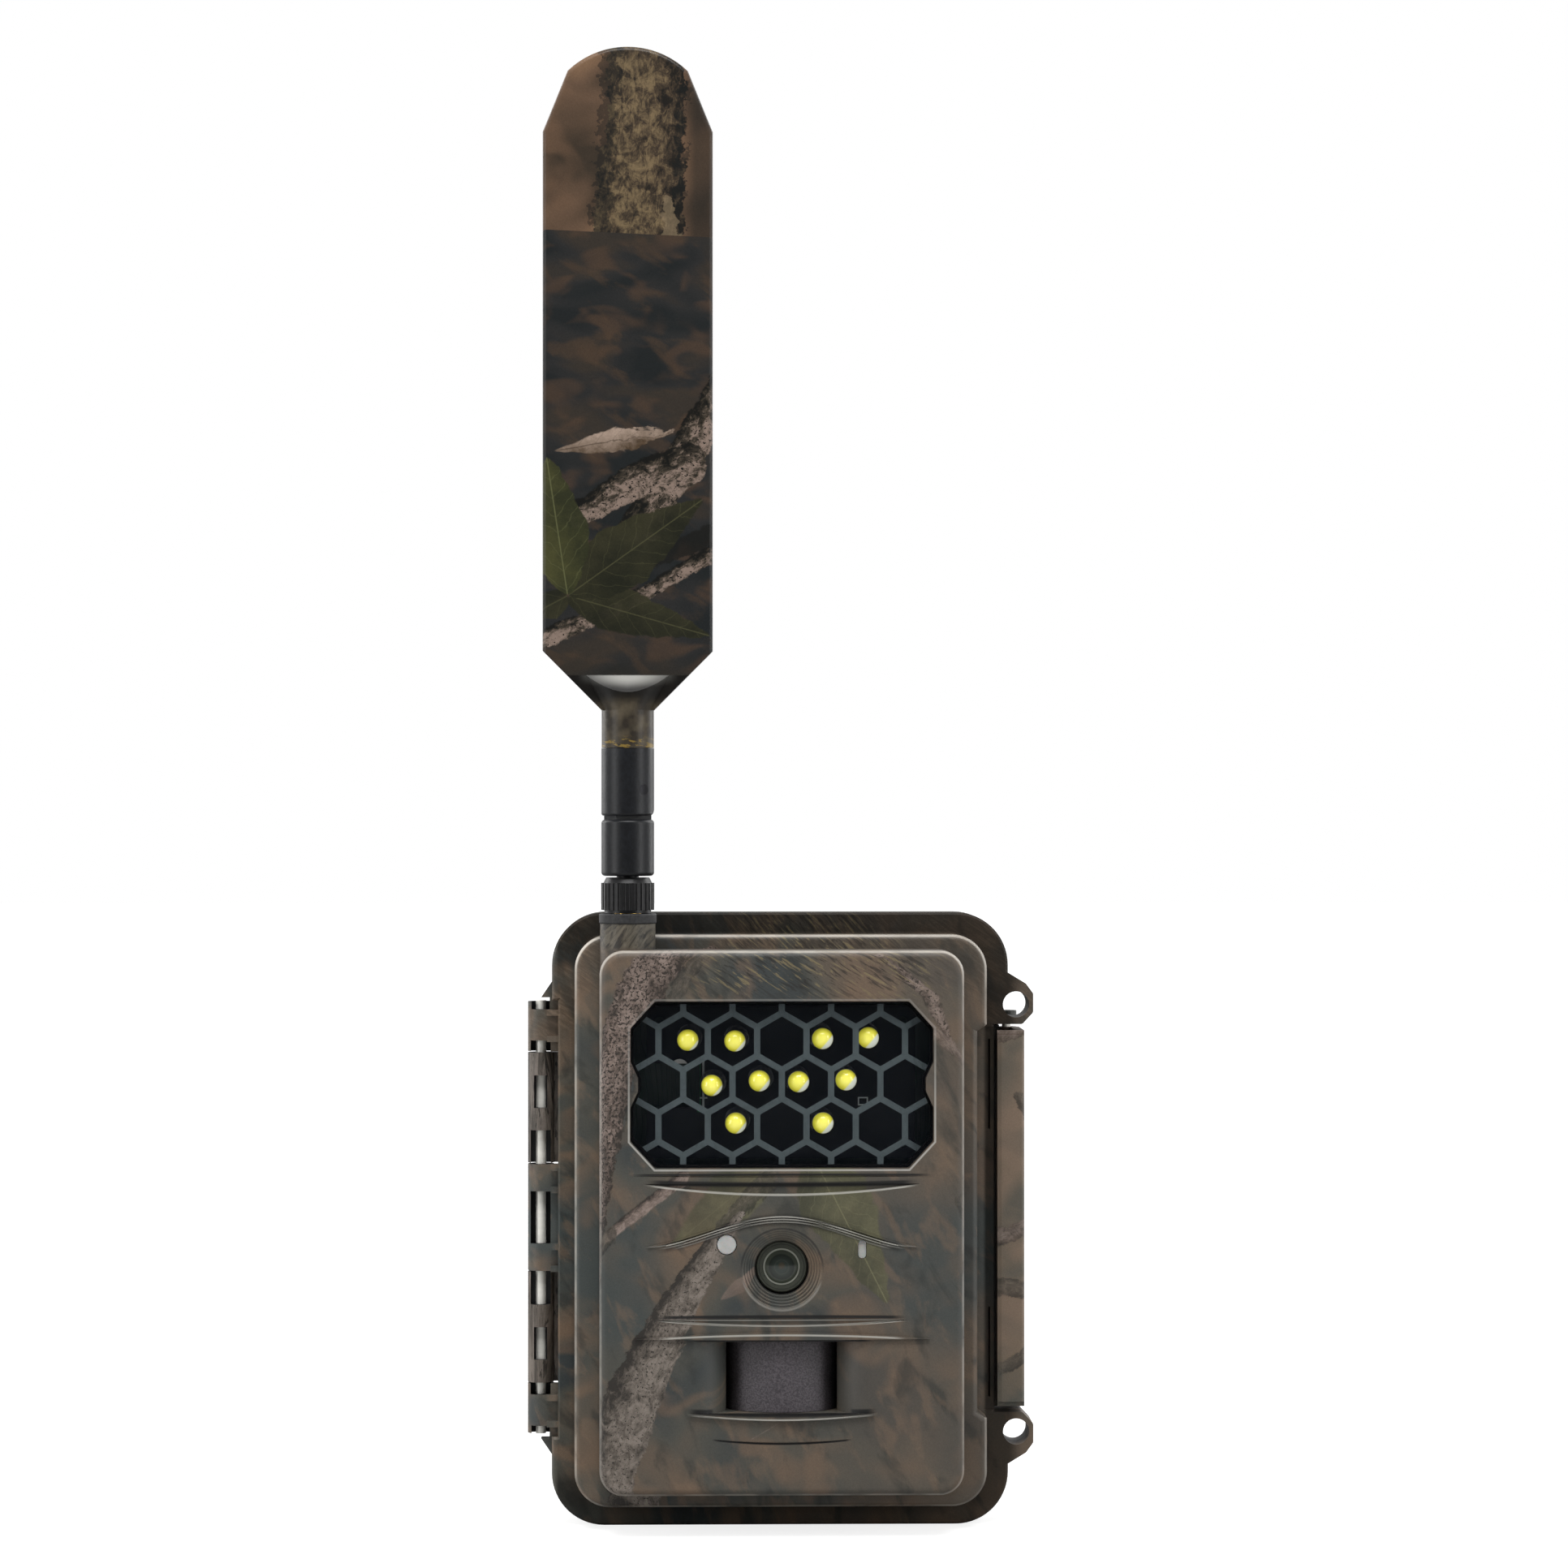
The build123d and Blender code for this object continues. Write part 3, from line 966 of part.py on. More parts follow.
def antenna_blade():
    """Paddle shell. Its round neck flares into the flat blade through a sloped shoulder on both faces."""
    half_t = BLADE_T / 2
    paddle = plate(blade_outline(), ANT_Y + half_t, ANT_Y - half_t)
    rims = [e for e in paddle.edges() if e.bounding_box().size.Y < 1e-3 and e.center().Z > BLADE_Z[0] + 3]
    paddle = fillet(rims, 1.1)
    foot = Plane((ANT_X, ANT_Y, NECK_Z[1])) * Circle(NECK_R)
    head = Plane((ANT_X, ANT_Y, BLADE_Z[0])) * Ellipse(FLARE_HALF_W, NECK_R)
    flare = loft([foot, head])
    slope = [(7.0, NECK_Z[1] - 1), (7.0, 188.6), (half_t, 193.9), (half_t, 199.0)]
    slope += [(-y, z) for y, z in reversed(slope)]
    flare &= extrude(Plane.YZ.offset(ANT_X - 25) * Pos(ANT_Y, 0) * outline(slope), amount=50)
    neck = rod_z(ANT_X, ANT_Y, NECK_R, NECK_Z[0], NECK_Z[1] + 0.5)
    shell = paddle + flare + neck
    pocket_t = half_t - BLADE_WALL
    pocket = plate(blade_outline(BLADE_WALL + 1.2), ANT_Y + pocket_t, ANT_Y - pocket_t)
    shell -= pocket & box(around(ANT_X, 30), around(ANT_Y, 9), (190, 340))
    shell -= rod_z(ANT_X, ANT_Y, 4.0, NECK_Z[0] - 1, NECK_Z[1])
    return shell - rod_z(ANT_X, ANT_Y, 1.2, NECK_Z[1] - 1, 194)


def antenna_radiator():
    """Printed circuit strip that radiates, sealed inside the paddle."""
    return box(around(ANT_X, 12), around(ANT_Y, 0.5), (205.0, 318.0))


def rf_cable():
    """Thin coaxial lead from the connector's foot to the radio on the main board."""
    path = Spline((ANT_X, ANT_Y, 124.4), (ANT_X + 0.5, ANT_Y + 1.5, 121.6), (ANT_X + 3, ANT_Y + 5.6, 119.6),
                  (ANT_X + 9, BOARD_Y - 1.0, 117.0), tangents=[(0, 0, -1), (1, 0, -0.3)])
    return sweep(Plane(path @ 0, z_dir=path % 0) * Circle(0.6), path=path)


def connector_locknut():
    """Hexagon nut that clamps the connector up into the boss."""
    nut = extrude(Plane.XY.offset(128.2) * Pos(ANT_X, ANT_Y) * RegularPolygon(4.4, 6), amount=2.1)
    return nut - rod_z(ANT_X, ANT_Y, THREAD_R + 0.03, 120, 132)


# ---------------------------------------------------------------- build
NODES = [
    rear_shell, battery_tray, aa_cells, battery_contacts, tray_screws, case_gasket, tripod_insert,
    hinge_pin, latch_pin, dc_jack, dc_port_cover, power_cable, front_shell, led_window, honeycomb_mask,
    led_board, flash_leds, light_sensor_window, light_sensor, status_light_pipe, status_led,
    lens_holder, lens_barrel, lens_front_element, ir_cut_filter, image_sensor, pir_lens, pir_sensor,
    main_board, board_screws, control_panel, panel_screws, lcd_window, lcd_module, tact_switches,
    power_switch_body, power_switch_knob, sd_card_slot, sd_card, sim_card_slot, sim_card, usb_port,
    latch_lever, antenna_connector, connector_locknut, antenna_seal, rf_cable, antenna_nut,
    antenna_base, antenna_knuckle, antenna_pivot_pin, antenna_blade, antenna_radiator,
]


def main():
    os.makedirs("parts", exist_ok=True)
    for make in NODES:
        export_step(make(), f"parts/{make.__name__}.step")
    for name in KEYS:
        export_step(key_cap(name), f"parts/{name}.step")


main()
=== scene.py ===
import math

import bpy
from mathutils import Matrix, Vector


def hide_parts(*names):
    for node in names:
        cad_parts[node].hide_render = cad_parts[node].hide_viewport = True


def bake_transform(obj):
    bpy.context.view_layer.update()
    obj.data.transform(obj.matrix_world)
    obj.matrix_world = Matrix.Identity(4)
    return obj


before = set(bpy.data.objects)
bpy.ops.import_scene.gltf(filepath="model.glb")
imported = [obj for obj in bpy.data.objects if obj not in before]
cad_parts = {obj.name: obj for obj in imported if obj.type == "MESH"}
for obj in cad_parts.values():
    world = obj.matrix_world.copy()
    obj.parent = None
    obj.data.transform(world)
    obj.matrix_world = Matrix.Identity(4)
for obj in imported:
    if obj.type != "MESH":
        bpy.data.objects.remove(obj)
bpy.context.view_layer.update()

# Shader positions are in millimetres: x to the right, y away from the camera, z up.
PANEL_Y, STEP1_Y, FLANGE_Y, PART_Y = -43.0, -31.0, -22.0, -16.0
HINGE_X = -54.9
WINDOW_Z, LENS_Z, PIR_Z = 101.9, 60.6, 36.4
ANT_X, ANT_Y = -34.7, -33.0
FLARE_TOP = 194.0
MID_Z = 70.0                    # half the height of the case
MM = 0.001                      # a millimetre, in Blender's metres
DIM_FRONT = 0.12                # how bright the room is in front of the object


# ---------------- a small language for shader nodes
class Value:
    """A number, vector or colour that a node puts out, with ordinary arithmetic."""

    def __init__(self, graph, socket):
        self.graph, self.socket = graph, socket

    def __add__(self, other):
        return self.graph.math("ADD", self, other)

    def __radd__(self, other):
        return self.graph.math("ADD", other, self)

    def __sub__(self, other):
        return self.graph.math("SUBTRACT", self, other)

    def __rsub__(self, other):
        return self.graph.math("SUBTRACT", other, self)

    def __mul__(self, other):
        return self.graph.math("MULTIPLY", self, other)

    def __rmul__(self, other):
        return self.graph.math("MULTIPLY", other, self)

    def __truediv__(self, other):
        return self.graph.math("DIVIDE", self, other)

    def __neg__(self):
        return self.graph.math("MULTIPLY", self, -1.0)

    def __pow__(self, other):
        return self.graph.math("POWER", self, other)


class Graph:
    """Adds nodes to one node tree."""

    def __init__(self, tree):
        self.tree = tree
        self.known = {}

    def node(self, kind, **settings):
        made = self.tree.nodes.new(kind)
        for key, value in settings.items():
            setattr(made, key, value)
        return made

    def put(self, socket, value):
        if isinstance(value, Value):
            self.tree.links.new(value.socket, socket)
        elif socket.type == "RGBA" and len(value) == 3:
            socket.default_value = (*value, 1.0)
        else:
            socket.default_value = value

    def math(self, operation, *values):
        made = self.node("ShaderNodeMath", operation=operation)
        for socket, value in zip(made.inputs, values):
            self.put(socket, value)
        return Value(self, made.outputs[0])

    def least(self, a, b):
        return self.math("MINIMUM", a, b)

    def most(self, a, b):
        return self.math("MAXIMUM", a, b)

    def size(self, a):
        return self.math("ABSOLUTE", a)

    def sine(self, a):
        return self.math("SINE", a)

    def root(self, a):
        return self.math("SQRT", a)

    def length(self, a, b):
        return self.root(a * a + b * b)

    def rise(self, value, low, high, start=0.0, end=1.0):
        """A smooth step of value, from start at low to end at high."""
        made = self.node("ShaderNodeMapRange", interpolation_type="SMOOTHSTEP")
        for socket, given in zip(made.inputs, (value, low, high, start, end)):
            self.put(socket, given)
        return Value(self, made.outputs[0])

    def within(self, value, outer, inner):
        """1 where value is within inner of 0, falling smoothly to 0 at outer."""
        return self.rise(self.size(value), outer, inner)

    def line(self, value, low, high, start=0.0, end=1.0):
        """A straight step of value, from start at low to end at high."""
        made = self.node("ShaderNodeMapRange")
        for socket, given in zip(made.inputs, (value, low, high, start, end)):
            self.put(socket, given)
        return Value(self, made.outputs[0])

    def vector(self, x, y, z=0.0):
        made = self.node("ShaderNodeCombineXYZ")
        for socket, value in zip(made.inputs, (x, y, z)):
            self.put(socket, value)
        return Value(self, made.outputs[0])

    def noise(self, where, scale, detail=2.0, rough=0.5, warp=0.0):
        """Noise around 0.5; scale is in bumps per unit of where."""
        made = self.node("ShaderNodeTexNoise")
        self.put(made.inputs["Vector"], where)
        settings = {"Scale": scale, "Detail": detail, "Roughness": rough, "Distortion": warp}
        for name, value in settings.items():
            self.put(made.inputs[name], value)
        return Value(self, made.outputs[0])

    def cells(self, where, scale, feature="F1"):
        made = self.node("ShaderNodeTexVoronoi", feature=feature)
        self.put(made.inputs["Vector"], where)
        self.put(made.inputs["Scale"], scale)
        return Value(self, made.outputs["Distance"])

    def parts(self, vector):
        """The three numbers in a vector or colour."""
        made = self.node("ShaderNodeSeparateXYZ")
        self.put(made.inputs[0], vector)
        return tuple(Value(self, out) for out in made.outputs)

    def mix(self, share, a, b):
        """Colour a where share is 0 and colour b where it is 1."""
        made = self.node("ShaderNodeMix", data_type="RGBA")
        self.put(made.inputs[0], share)
        self.put(made.inputs[6], a)
        self.put(made.inputs[7], b)
        return Value(self, made.outputs[2])

    def ramp(self, value, stops):
        """A colour ramp; stops are (position, colour)."""
        made = self.node("ShaderNodeValToRGB")
        self.put(made.inputs[0], value)
        elements = made.color_ramp.elements
        while len(elements) < len(stops):
            elements.new(0.5)
        for element, (position, colour) in zip(elements, stops):
            element.position = position
            element.color = (*colour, 1.0)
        return Value(self, made.outputs[0])

    def scaled(self, colour, share):
        """A colour or vector times a number."""
        made = self.node("ShaderNodeVectorMath", operation="SCALE")
        self.put(made.inputs[0], colour)
        self.put(made.inputs[3], share)
        return Value(self, made.outputs[0])

    def coordinate(self, kind):
        """One of Blender's coordinates, as a vector."""
        return Value(self, self.node("ShaderNodeTexCoord").outputs[kind])

    def place(self):
        """Object coordinates in millimetres, as x, y, z and the vector itself."""
        if "place" not in self.known:
            vector = self.scaled(self.coordinate("Object"), 1.0 / MM)
            self.known["place"] = self.parts(vector) + (vector,)
        return self.known["place"]

    def where(self):
        """Object coordinates in millimetres, as a vector."""
        return self.place()[3]

    def normal(self):
        """The three parts of the surface's direction."""
        if "normal" not in self.known:
            self.known["normal"] = self.parts(self.coordinate("Normal"))
        return self.known["normal"]

    def seen(self):
        """1 for rays straight from the camera, 0 for light on its way."""
        return Value(self, self.node("ShaderNodeLightPath").outputs["Is Camera Ray"])

    def facing(self):
        """How far the surface faces the front, 1 where it looks along -Y."""
        return -self.normal()[1]

    def aside(self, right, up):
        """How far the surface leans right and up, by the two weights."""
        return self.normal()[0] * right + self.normal()[2] * up


def srgb(red, green, blue):
    """Linear colour from the 0 to 255 values a screen shows."""
    def straight(c):
        c = c / 255
        return c / 12.92 if c <= 0.04045 else ((c + 0.055) / 1.055) ** 2.4
    return (straight(red), straight(green), straight(blue))


def material(name, paint):
    """A material; paint returns a dict of surface inputs, and may add a height in millimetres."""
    made = bpy.data.materials.new(name)
    made.use_nodes = True
    graph = Graph(made.node_tree)
    surface = made.node_tree.nodes["Principled BSDF"]
    given = paint(graph)
    height = given.pop("height", None)
    for key, value in given.items():
        graph.put(surface.inputs[key], value)
    if height is not None:
        bump = graph.node("ShaderNodeBump")
        bump.inputs["Strength"].default_value = 1.0
        bump.inputs["Distance"].default_value = MM
        graph.put(bump.inputs["Height"], height)
        made.node_tree.links.new(bump.outputs[0], surface.inputs["Normal"])
    return made


# ---------------- printed camouflage
def strip(g, u, v, start, end, width_start, width_end, ragged=0.0, seed=0.0):
    """A tapering band between two points: distance and share along it, distance across it over its half
    width, and mask.
    """
    run = (end[0] - start[0], end[1] - start[1])
    span = math.hypot(*run)
    along_dir, across_dir = (run[0] / span, run[1] / span), (-run[1] / span, run[0] / span)
    du, dv = u - start[0], v - start[1]
    along = du * along_dir[0] + dv * along_dir[1]
    across = du * across_dir[0] + dv * across_dir[1]
    share = g.line(along, 0.0, span)
    half = share * ((width_end - width_start) / 2) + width_start / 2
    beyond = g.size(along - span / 2) - span / 2
    reach = g.length(across, g.most(beyond, 0.0))
    edge = half - reach
    if ragged:
        edge = edge + (g.noise(g.vector(along, across, seed), 0.45, 4.0, 0.65) - 0.5) * (2 * ragged)
    return {"along": along, "share": share, "across": across / half, "mask": g.rise(edge, 0.0, 0.45)}


def course(g, u, v, points, widths):
    """Where a place in the print lies on a crooked limb through points.

    Returns the distance along it, the distance across it (+ right or up), its half width there and the
    distance past its end.
    """
    rise, reach = points[-1][1] - points[0][1], points[-1][0] - points[0][0]
    steep = abs(rise) > abs(reach)
    lean = max(abs(rise), abs(reach)) / math.hypot(rise, reach)
    run, side = (v, u) if steep else (u, v)
    stops = sorted((p[steep], p[not steep], width) for p, width in zip(points, widths))
    first, last, widest = stops[0][0], stops[-1][0], max(widths)
    low = min(stop[1] for stop in stops)
    span = max(stop[1] for stop in stops) - low + 0.001
    table = []
    for run_at, side_at, width in stops:
        colour = ((side_at - low) / span, width / widest, 0.0)
        table.append(((run_at - first) / (last - first), colour))
    centre, half, _ = g.parts(g.ramp(g.line(run, first, last), table))
    across = (side - centre * span - low) * lean
    beyond = (g.size(run - (first + last) / 2) - (last - first) / 2) / lean
    return run / lean, across, half * (widest / 2), beyond


def branch(g, colour, u, v, points, widths, tones, ragged=1.2, seed=0.0, lit=1.0, strength=1.0, speckle=0.0,
           rough=1.0):
    """Paints a barked limb over colour. tones are (dark, middle, light); lit is the bright side."""
    along, across, half, beyond = course(g, u, v, points, widths)
    edge = half - g.length(across, g.most(beyond, 0.0))
    edge = edge + (g.noise(g.vector(along, across, seed), 0.45, 4.0, 0.65) - 0.5) * (2 * ragged)
    share = across / half
    fibre = g.noise(g.vector(along * 0.34, across * 0.8, seed), 1.0, 7.0, 0.74, 0.9)
    clumps = g.noise(g.vector(u, v, seed + 7.0), 0.28, 6.0, 0.7, 0.8)
    relief = ((fibre - 0.5) * 1.4 + (clumps - 0.5) * 1.5) * rough
    light = relief + share * (0.2 * lit) - share * share * 0.3 + 0.6
    bark = g.ramp(light, [(0.2, tones[0]), (0.48, tones[1]), (0.82, tones[2])])
    if speckle:
        limit = 0.62 - speckle * 0.1
        pits = g.rise(g.noise(g.vector(u, v, seed + 3.0), 1.5, 3.0, 0.6), limit, limit + 0.04)
        bark = g.mix(pits, bark, tones[0])
    return g.mix(g.rise(edge, 0.0, 0.45) * strength, colour, bark)


def leaf(g, colour, u, v, stem, tip, width, tones, strength=1.0, fullest=0.4, seed=0.0, veins=1.0, blunt=0.5,
         soft=0.35):
    """Paints a pointed leaf from stem to tip, with a pale midrib and slanting side veins."""
    band = strip(g, u, v, stem, tip, 2.0, 2.0)
    share, across = band["share"], band["across"]
    wobble = (g.noise(g.vector(u, v, seed), 0.25, 3.0) - 0.5) * (width * 0.22)
    rising = g.math("SINE", g.line(share, 0.0, fullest, 0.0, math.pi / 2)) ** blunt
    falling = g.line(share, fullest, 1.0, 1.0, 0.0) ** 0.8
    half = g.least(rising, falling) * (width / 2)
    edge = half + wobble - g.size(across)
    ends = g.rise(share, 0.0, 0.02) * g.rise(share, 0.995, 0.97)
    mask = g.rise(edge, -0.1, soft) * ends
    midrib = g.within(across, 0.22, 0.06)
    ribs = g.sine((band["along"] - g.size(across) * 1.1) * 1.5 + wobble * 2.0)
    side = g.rise(ribs, 0.96, 1.0) * (0.22 * veins)
    body = g.noise(g.vector(u, v, seed + 5.0), 0.14, 5.0, 0.65)
    body = body + g.rise(across, -width / 2, width / 2) * 0.3 - 0.15
    green = g.ramp(body, [(0.3, tones[0]), (0.7, tones[1])])
    green = g.mix(g.most(midrib * (0.55 * veins), side), green, tones[2])
    return g.mix(mask * strength, colour, green)


def blur(g, u, v, seed, tones, scale=0.035):
    """Out-of-focus woodland: slow blotches of slate and brown."""
    warped = g.vector(u, v * 1.15, seed)
    slow = g.noise(warped, scale, 2.0, 0.45, 0.5)
    warm = g.noise(g.vector(u, v, seed + 11.0), scale * 2.1, 1.5, 0.4, 0.6)
    base = g.ramp(slow, [(0.36, tones[0]), (0.5, tones[1]), (0.64, tones[2])])
    return g.mix(g.rise(warm, 0.5, 0.7) * 0.55, base, tones[3])


def grain(g, colour, where):
    """The fine print grain of the film."""
    fine = g.noise(where, 3.2, 3.0, 0.7)
    return g.scaled(colour, 0.72 + fine * 0.56)


TEAL, SLATE = srgb(50, 54, 54), srgb(68, 67, 61)
BROWN, WARM = srgb(88, 76, 64), srgb(106, 86, 69)
UMBER, BLACK = srgb(32, 29, 26), srgb(6, 6, 7)
BARK = (srgb(38, 34, 30), srgb(80, 73, 66), srgb(120, 111, 103))
PALE_BARK = (srgb(40, 34, 30), srgb(88, 76, 69), srgb(130, 115, 107))
DARK_BARK = (srgb(26, 26, 24), srgb(56, 52, 46), srgb(92, 84, 74))
OLIVE = (srgb(58, 58, 42), srgb(88, 86, 63), srgb(120, 117, 86))
PINK = (srgb(92, 78, 70), srgb(112, 97, 88), srgb(128, 112, 102))
FOREST = (TEAL, SLATE, BROWN, WARM)


def unrolled(g, front_y, mid_z):
    """Print coordinates that run on from the front round the sides, the top and the bottom."""
    x, y, z, _ = g.place()
    depth = y - front_y
    u = x + depth * g.line(x, -30.0, 30.0, -1.0, 1.0)
    v = z + depth * g.line(z - mid_z, -40.0, 40.0, -1.0, 1.0)
    return u, v


def smudges(g, u, v, colour, size, tone, share, seed):
    """Soft streaks that lean along the branches."""
    slant = g.noise(g.vector((u + v * 0.45) * size, (v - u * 0.3) * size * 0.45, seed), 1.0, 4.0, 0.55, 0.4)
    return g.mix(g.rise(slant, 0.52, 0.66) * share, colour, tone)


def forest_front(g, u, v):
    """The scene printed across the front case."""
    colour = blur(g, u, v, 2.0, FOREST, 0.04)
    warmer = g.mix(g.noise(g.vector(u, v, 4.0), 0.07, 2.0), SLATE, WARM)
    colour = g.mix(g.rise(u, 4.0, 30.0) * 0.5, colour, warmer)
    sides = g.rise(g.size(u + 3.0), 20.0, 30.0) * g.within(v - 60.0, 24.0, 10.0)
    uneven = g.rise(g.noise(g.vector(u, v, 24.0), 0.05, 3.0, 0.5), 0.3, 0.5)
    colour = g.mix(sides * uneven * 0.9, colour, srgb(56, 61, 60))
    colour = smudges(g, u, v, colour, 0.13, srgb(38, 40, 38), 0.6, 6.0)
    colour = smudges(g, u, v, colour, 0.17, srgb(112, 92, 74), 0.35, 16.0)
    colour = leaf(g, colour, u, v, (-2.0, 84.5), (-24.5, 66.0), 13.0, OLIVE, strength=0.75, fullest=0.45,
                  seed=6.0, veins=0.25, soft=1.2)
    colour = leaf(g, colour, u, v, (6.5, 87.0), (23.8, 52.6), 17.0, OLIVE, strength=0.85, fullest=0.36,
                  seed=1.0, veins=0.9, soft=0.7)
    wedge = [(-3.0, 81.0), (-14.0, 70.5)]
    colour = branch(g, colour, u, v, wedge, [6.0, 2.5], DARK_BARK, ragged=1.6, seed=17.0, lit=0.6,
                    strength=0.7)
    trunk = [(-21.0, 139.0), (-30.5, 125.0), (-38.0, 105.0), (-42.0, 84.0), (-44.5, 58.0)]
    colour = branch(g, colour, u, v, trunk, [12.0, 12.0, 11.0, 9.0, 6.0], PALE_BARK, ragged=2.2, seed=3.0,
                    lit=-0.6, strength=0.95, speckle=1.0, rough=1.0)
    shade = [(-12.0, 139.0), (-22.5, 125.0), (-30.0, 108.0), (-35.0, 92.0)]
    colour = branch(g, colour, u, v, shade, [3.0, 4.0, 4.0, 2.0], DARK_BARK, ragged=1.6, seed=18.0,
                    lit=0.6, strength=0.75)
    colour = branch(g, colour, u, v, [(-22.0, 81.5), (-39.0, 68.2)], [3.4, 2.8], PALE_BARK, ragged=0.7,
                    seed=9.0, lit=-1.6, strength=0.95)
    lower = [(-38.0, 68.6), (-50.0, 57.0)]
    colour = branch(g, colour, u, v, lower, [3.4, 4.6], DARK_BARK, ragged=1.2, seed=10.0, lit=1.0,
                    strength=0.8)
    limb = [(-9.5, 73.0), (-14.5, 66.5), (-23.0, 53.5), (-32.0, 35.5), (-39.0, 16.0), (-45.0, -4.0)]
    colour = branch(g, colour, u, v, limb, [2.5, 6.4, 9.0, 12.4, 13.0, 12.0], BARK, ragged=1.7, seed=5.0,
                    lit=1.2, strength=0.97, speckle=0.3, rough=1.0)
    colour = leaf(g, colour, u, v, (-13.8, 53.9), (-5.0, 60.4), 3.4, PINK, strength=0.6, fullest=0.5,
                  seed=8.0, veins=0.3, blunt=1.0)
    colour = branch(g, colour, u, v, [(-7.0, 22.6), (3.0, 28.4)], [0.6, 0.4], PALE_BARK, ragged=0.1,
                    seed=12.0, lit=0.0, strength=0.6)
    twig = [(22.0, 131.0), (33.0, 122.0), (37.5, 112.0)]
    colour = branch(g, colour, u, v, twig, [2.2, 3.6, 1.6], PALE_BARK, ragged=0.7, seed=13.0, lit=0.6,
                    strength=0.8, speckle=0.6)
    spray = [(33.0, 114.5), (47.0, 103.0)]
    colour = branch(g, colour, u, v, spray, [3.4, 2.2], PALE_BARK, ragged=0.9, seed=14.0, lit=0.6,
                    strength=0.6)
    bent = [(40.0, 76.0), (46.0, 66.0), (49.0, 58.0)]
    colour = branch(g, colour, u, v, bent, [3.5, 4.2, 4.2], DARK_BARK, ragged=1.4, seed=16.0, lit=0.6,
                    strength=0.6)
    return grass(g, colour, u, v)


def grass(g, colour, u, v):
    """Thin bent blades near the top of the print."""
    lean = g.vector(u * 0.16 - v * 0.1 + g.noise(g.vector(u, v, 9.0), 0.05) * 2.0, u * 0.75 + v * 1.15, 3.0)
    blades = g.noise(lean, 1.0, 4.0, 0.62, 0.5)
    patch = g.rise(v, 117.0, 126.0) * g.within(u - 8.0, 34.0, 18.0)
    colour = g.mix(g.rise(blades, 0.56, 0.62) * patch * 0.7, colour, srgb(116, 104, 76))
    colour = g.mix(g.rise(blades, 0.46, 0.4) * patch * 0.75, colour, UMBER)
    edge = g.rise(v, 128.0, 138.0) * 0.5
    return g.mix(edge * g.rise(blades, 0.7, 0.4), colour, srgb(48, 42, 34))


def forest_tile(g, u, v, seed):
    """A repeatable piece of the same print, for the parts whose print isn't lined up with anything."""
    colour = blur(g, u, v, seed, FOREST)
    limbs = [((-62, 150), (-18, 92), (-30, 30)), ((70, 140), (34, 60), (46, -20)),
             ((-4, 40), (30, 8), (66, -30)), ((-95, 60), (-66, 20), (-80, -30)),
             ((100, 110), (86, 40), (104, -10))]
    for i, points in enumerate(limbs):
        tones = (BARK, PALE_BARK, DARK_BARK)[i % 3]
        colour = branch(g, colour, u, v, points, [9.0, 12.0, 8.0], tones, ragged=1.6, seed=seed + i,
                        lit=0.8, strength=0.9, speckle=0.3)
    colour = leaf(g, colour, u, v, (6, 118), (-14, 84), 15.0, OLIVE, strength=0.85, fullest=0.4,
                  seed=seed + 1.0)
    colour = leaf(g, colour, u, v, (14, 70), (2, 34), 13.0, OLIVE, strength=0.7, fullest=0.45,
                  seed=seed + 2.0)
    colour = leaf(g, colour, u, v, (-60, 52), (-40, 28), 10.0, PINK, strength=0.6, fullest=0.45,
                  seed=seed + 3.0)
    return leaf(g, colour, u, v, (72, 96), (98, 74), 12.0, OLIVE, strength=0.75, fullest=0.4,
                seed=seed + 4.0)


def film(g, colour, where, haze=1.0):
    """The surface of printed film over fine moulded texture."""
    pores = g.noise(where, 2.4, 3.0, 0.6)
    uneven = g.noise(where, 0.05, 3.0, 0.6)
    return {
        "Base Color": colour,
        "Roughness": 0.42 + uneven * 0.16 + pores * 0.06,
        "Specular IOR Level": haze * 0.42,
        "height": pores * 0.02,
    }


def rounded_edge(g, x, z, half_x, half_z, mid_z, radius):
    """Distance outside a rounded rectangle, negative inside."""
    qx = g.size(x) - (half_x - radius)
    qz = g.size(z - mid_z) - (half_z - radius)
    outside = g.length(g.most(qx, 0.0), g.most(qz, 0.0))
    return outside + g.least(g.most(qx, qz), 0.0) - radius


def edge_highlight_line(g, distance, depth, face_y, width):
    """A painted highlight: a pale, broken line along a raised edge, where it catches the light."""
    on_edge = g.within(distance + width * 0.7, width, width * 0.25)
    near_face = g.within(depth - face_y, 2.6, 1.4)
    return on_edge * near_face


def arc_z(x, half, z_ends, z_mid):
    """Height at x of a shallow arc through (+-half, z_ends) and (0, z_mid)."""
    share = x / half
    return share * share * (z_ends - z_mid) + z_mid


def stroke(g, x, offset, half, width):
    """A line of a given width along offset = 0, fading out at +-half."""
    return g.within(offset, width, width * 0.35) * g.within(x, half, half * 0.86)


# arcs across the panel: half length, height at the ends, height at the middle, half width of the line
LIT_LIPS = ((31.0, 79.6, 77.3, 0.32), (28.4, 49.3, 47.9, 0.3), (28.4, 49.3, 49.2, 0.18),
            (21.4, 28.2, 27.0, 0.36), (28.0, 45.2, 46.0, 0.3))
SHADED_HOLLOWS = ((31.0, 80.1, 79.6, 0.85), (28.4, 49.9, 50.1, 0.5), (21.8, 29.0, 28.2, 0.8),
           (34.5, 81.8, 81.9, 0.3), (16.0, 22.6, 21.6, 0.3), (21.0, 44.7, 44.7, 0.3))
WAVE_HALF, WAVE_RISE, WAVE_Z = 31.0, 3.4, 69.1  # the wave over the lens: half length, rise and middle height


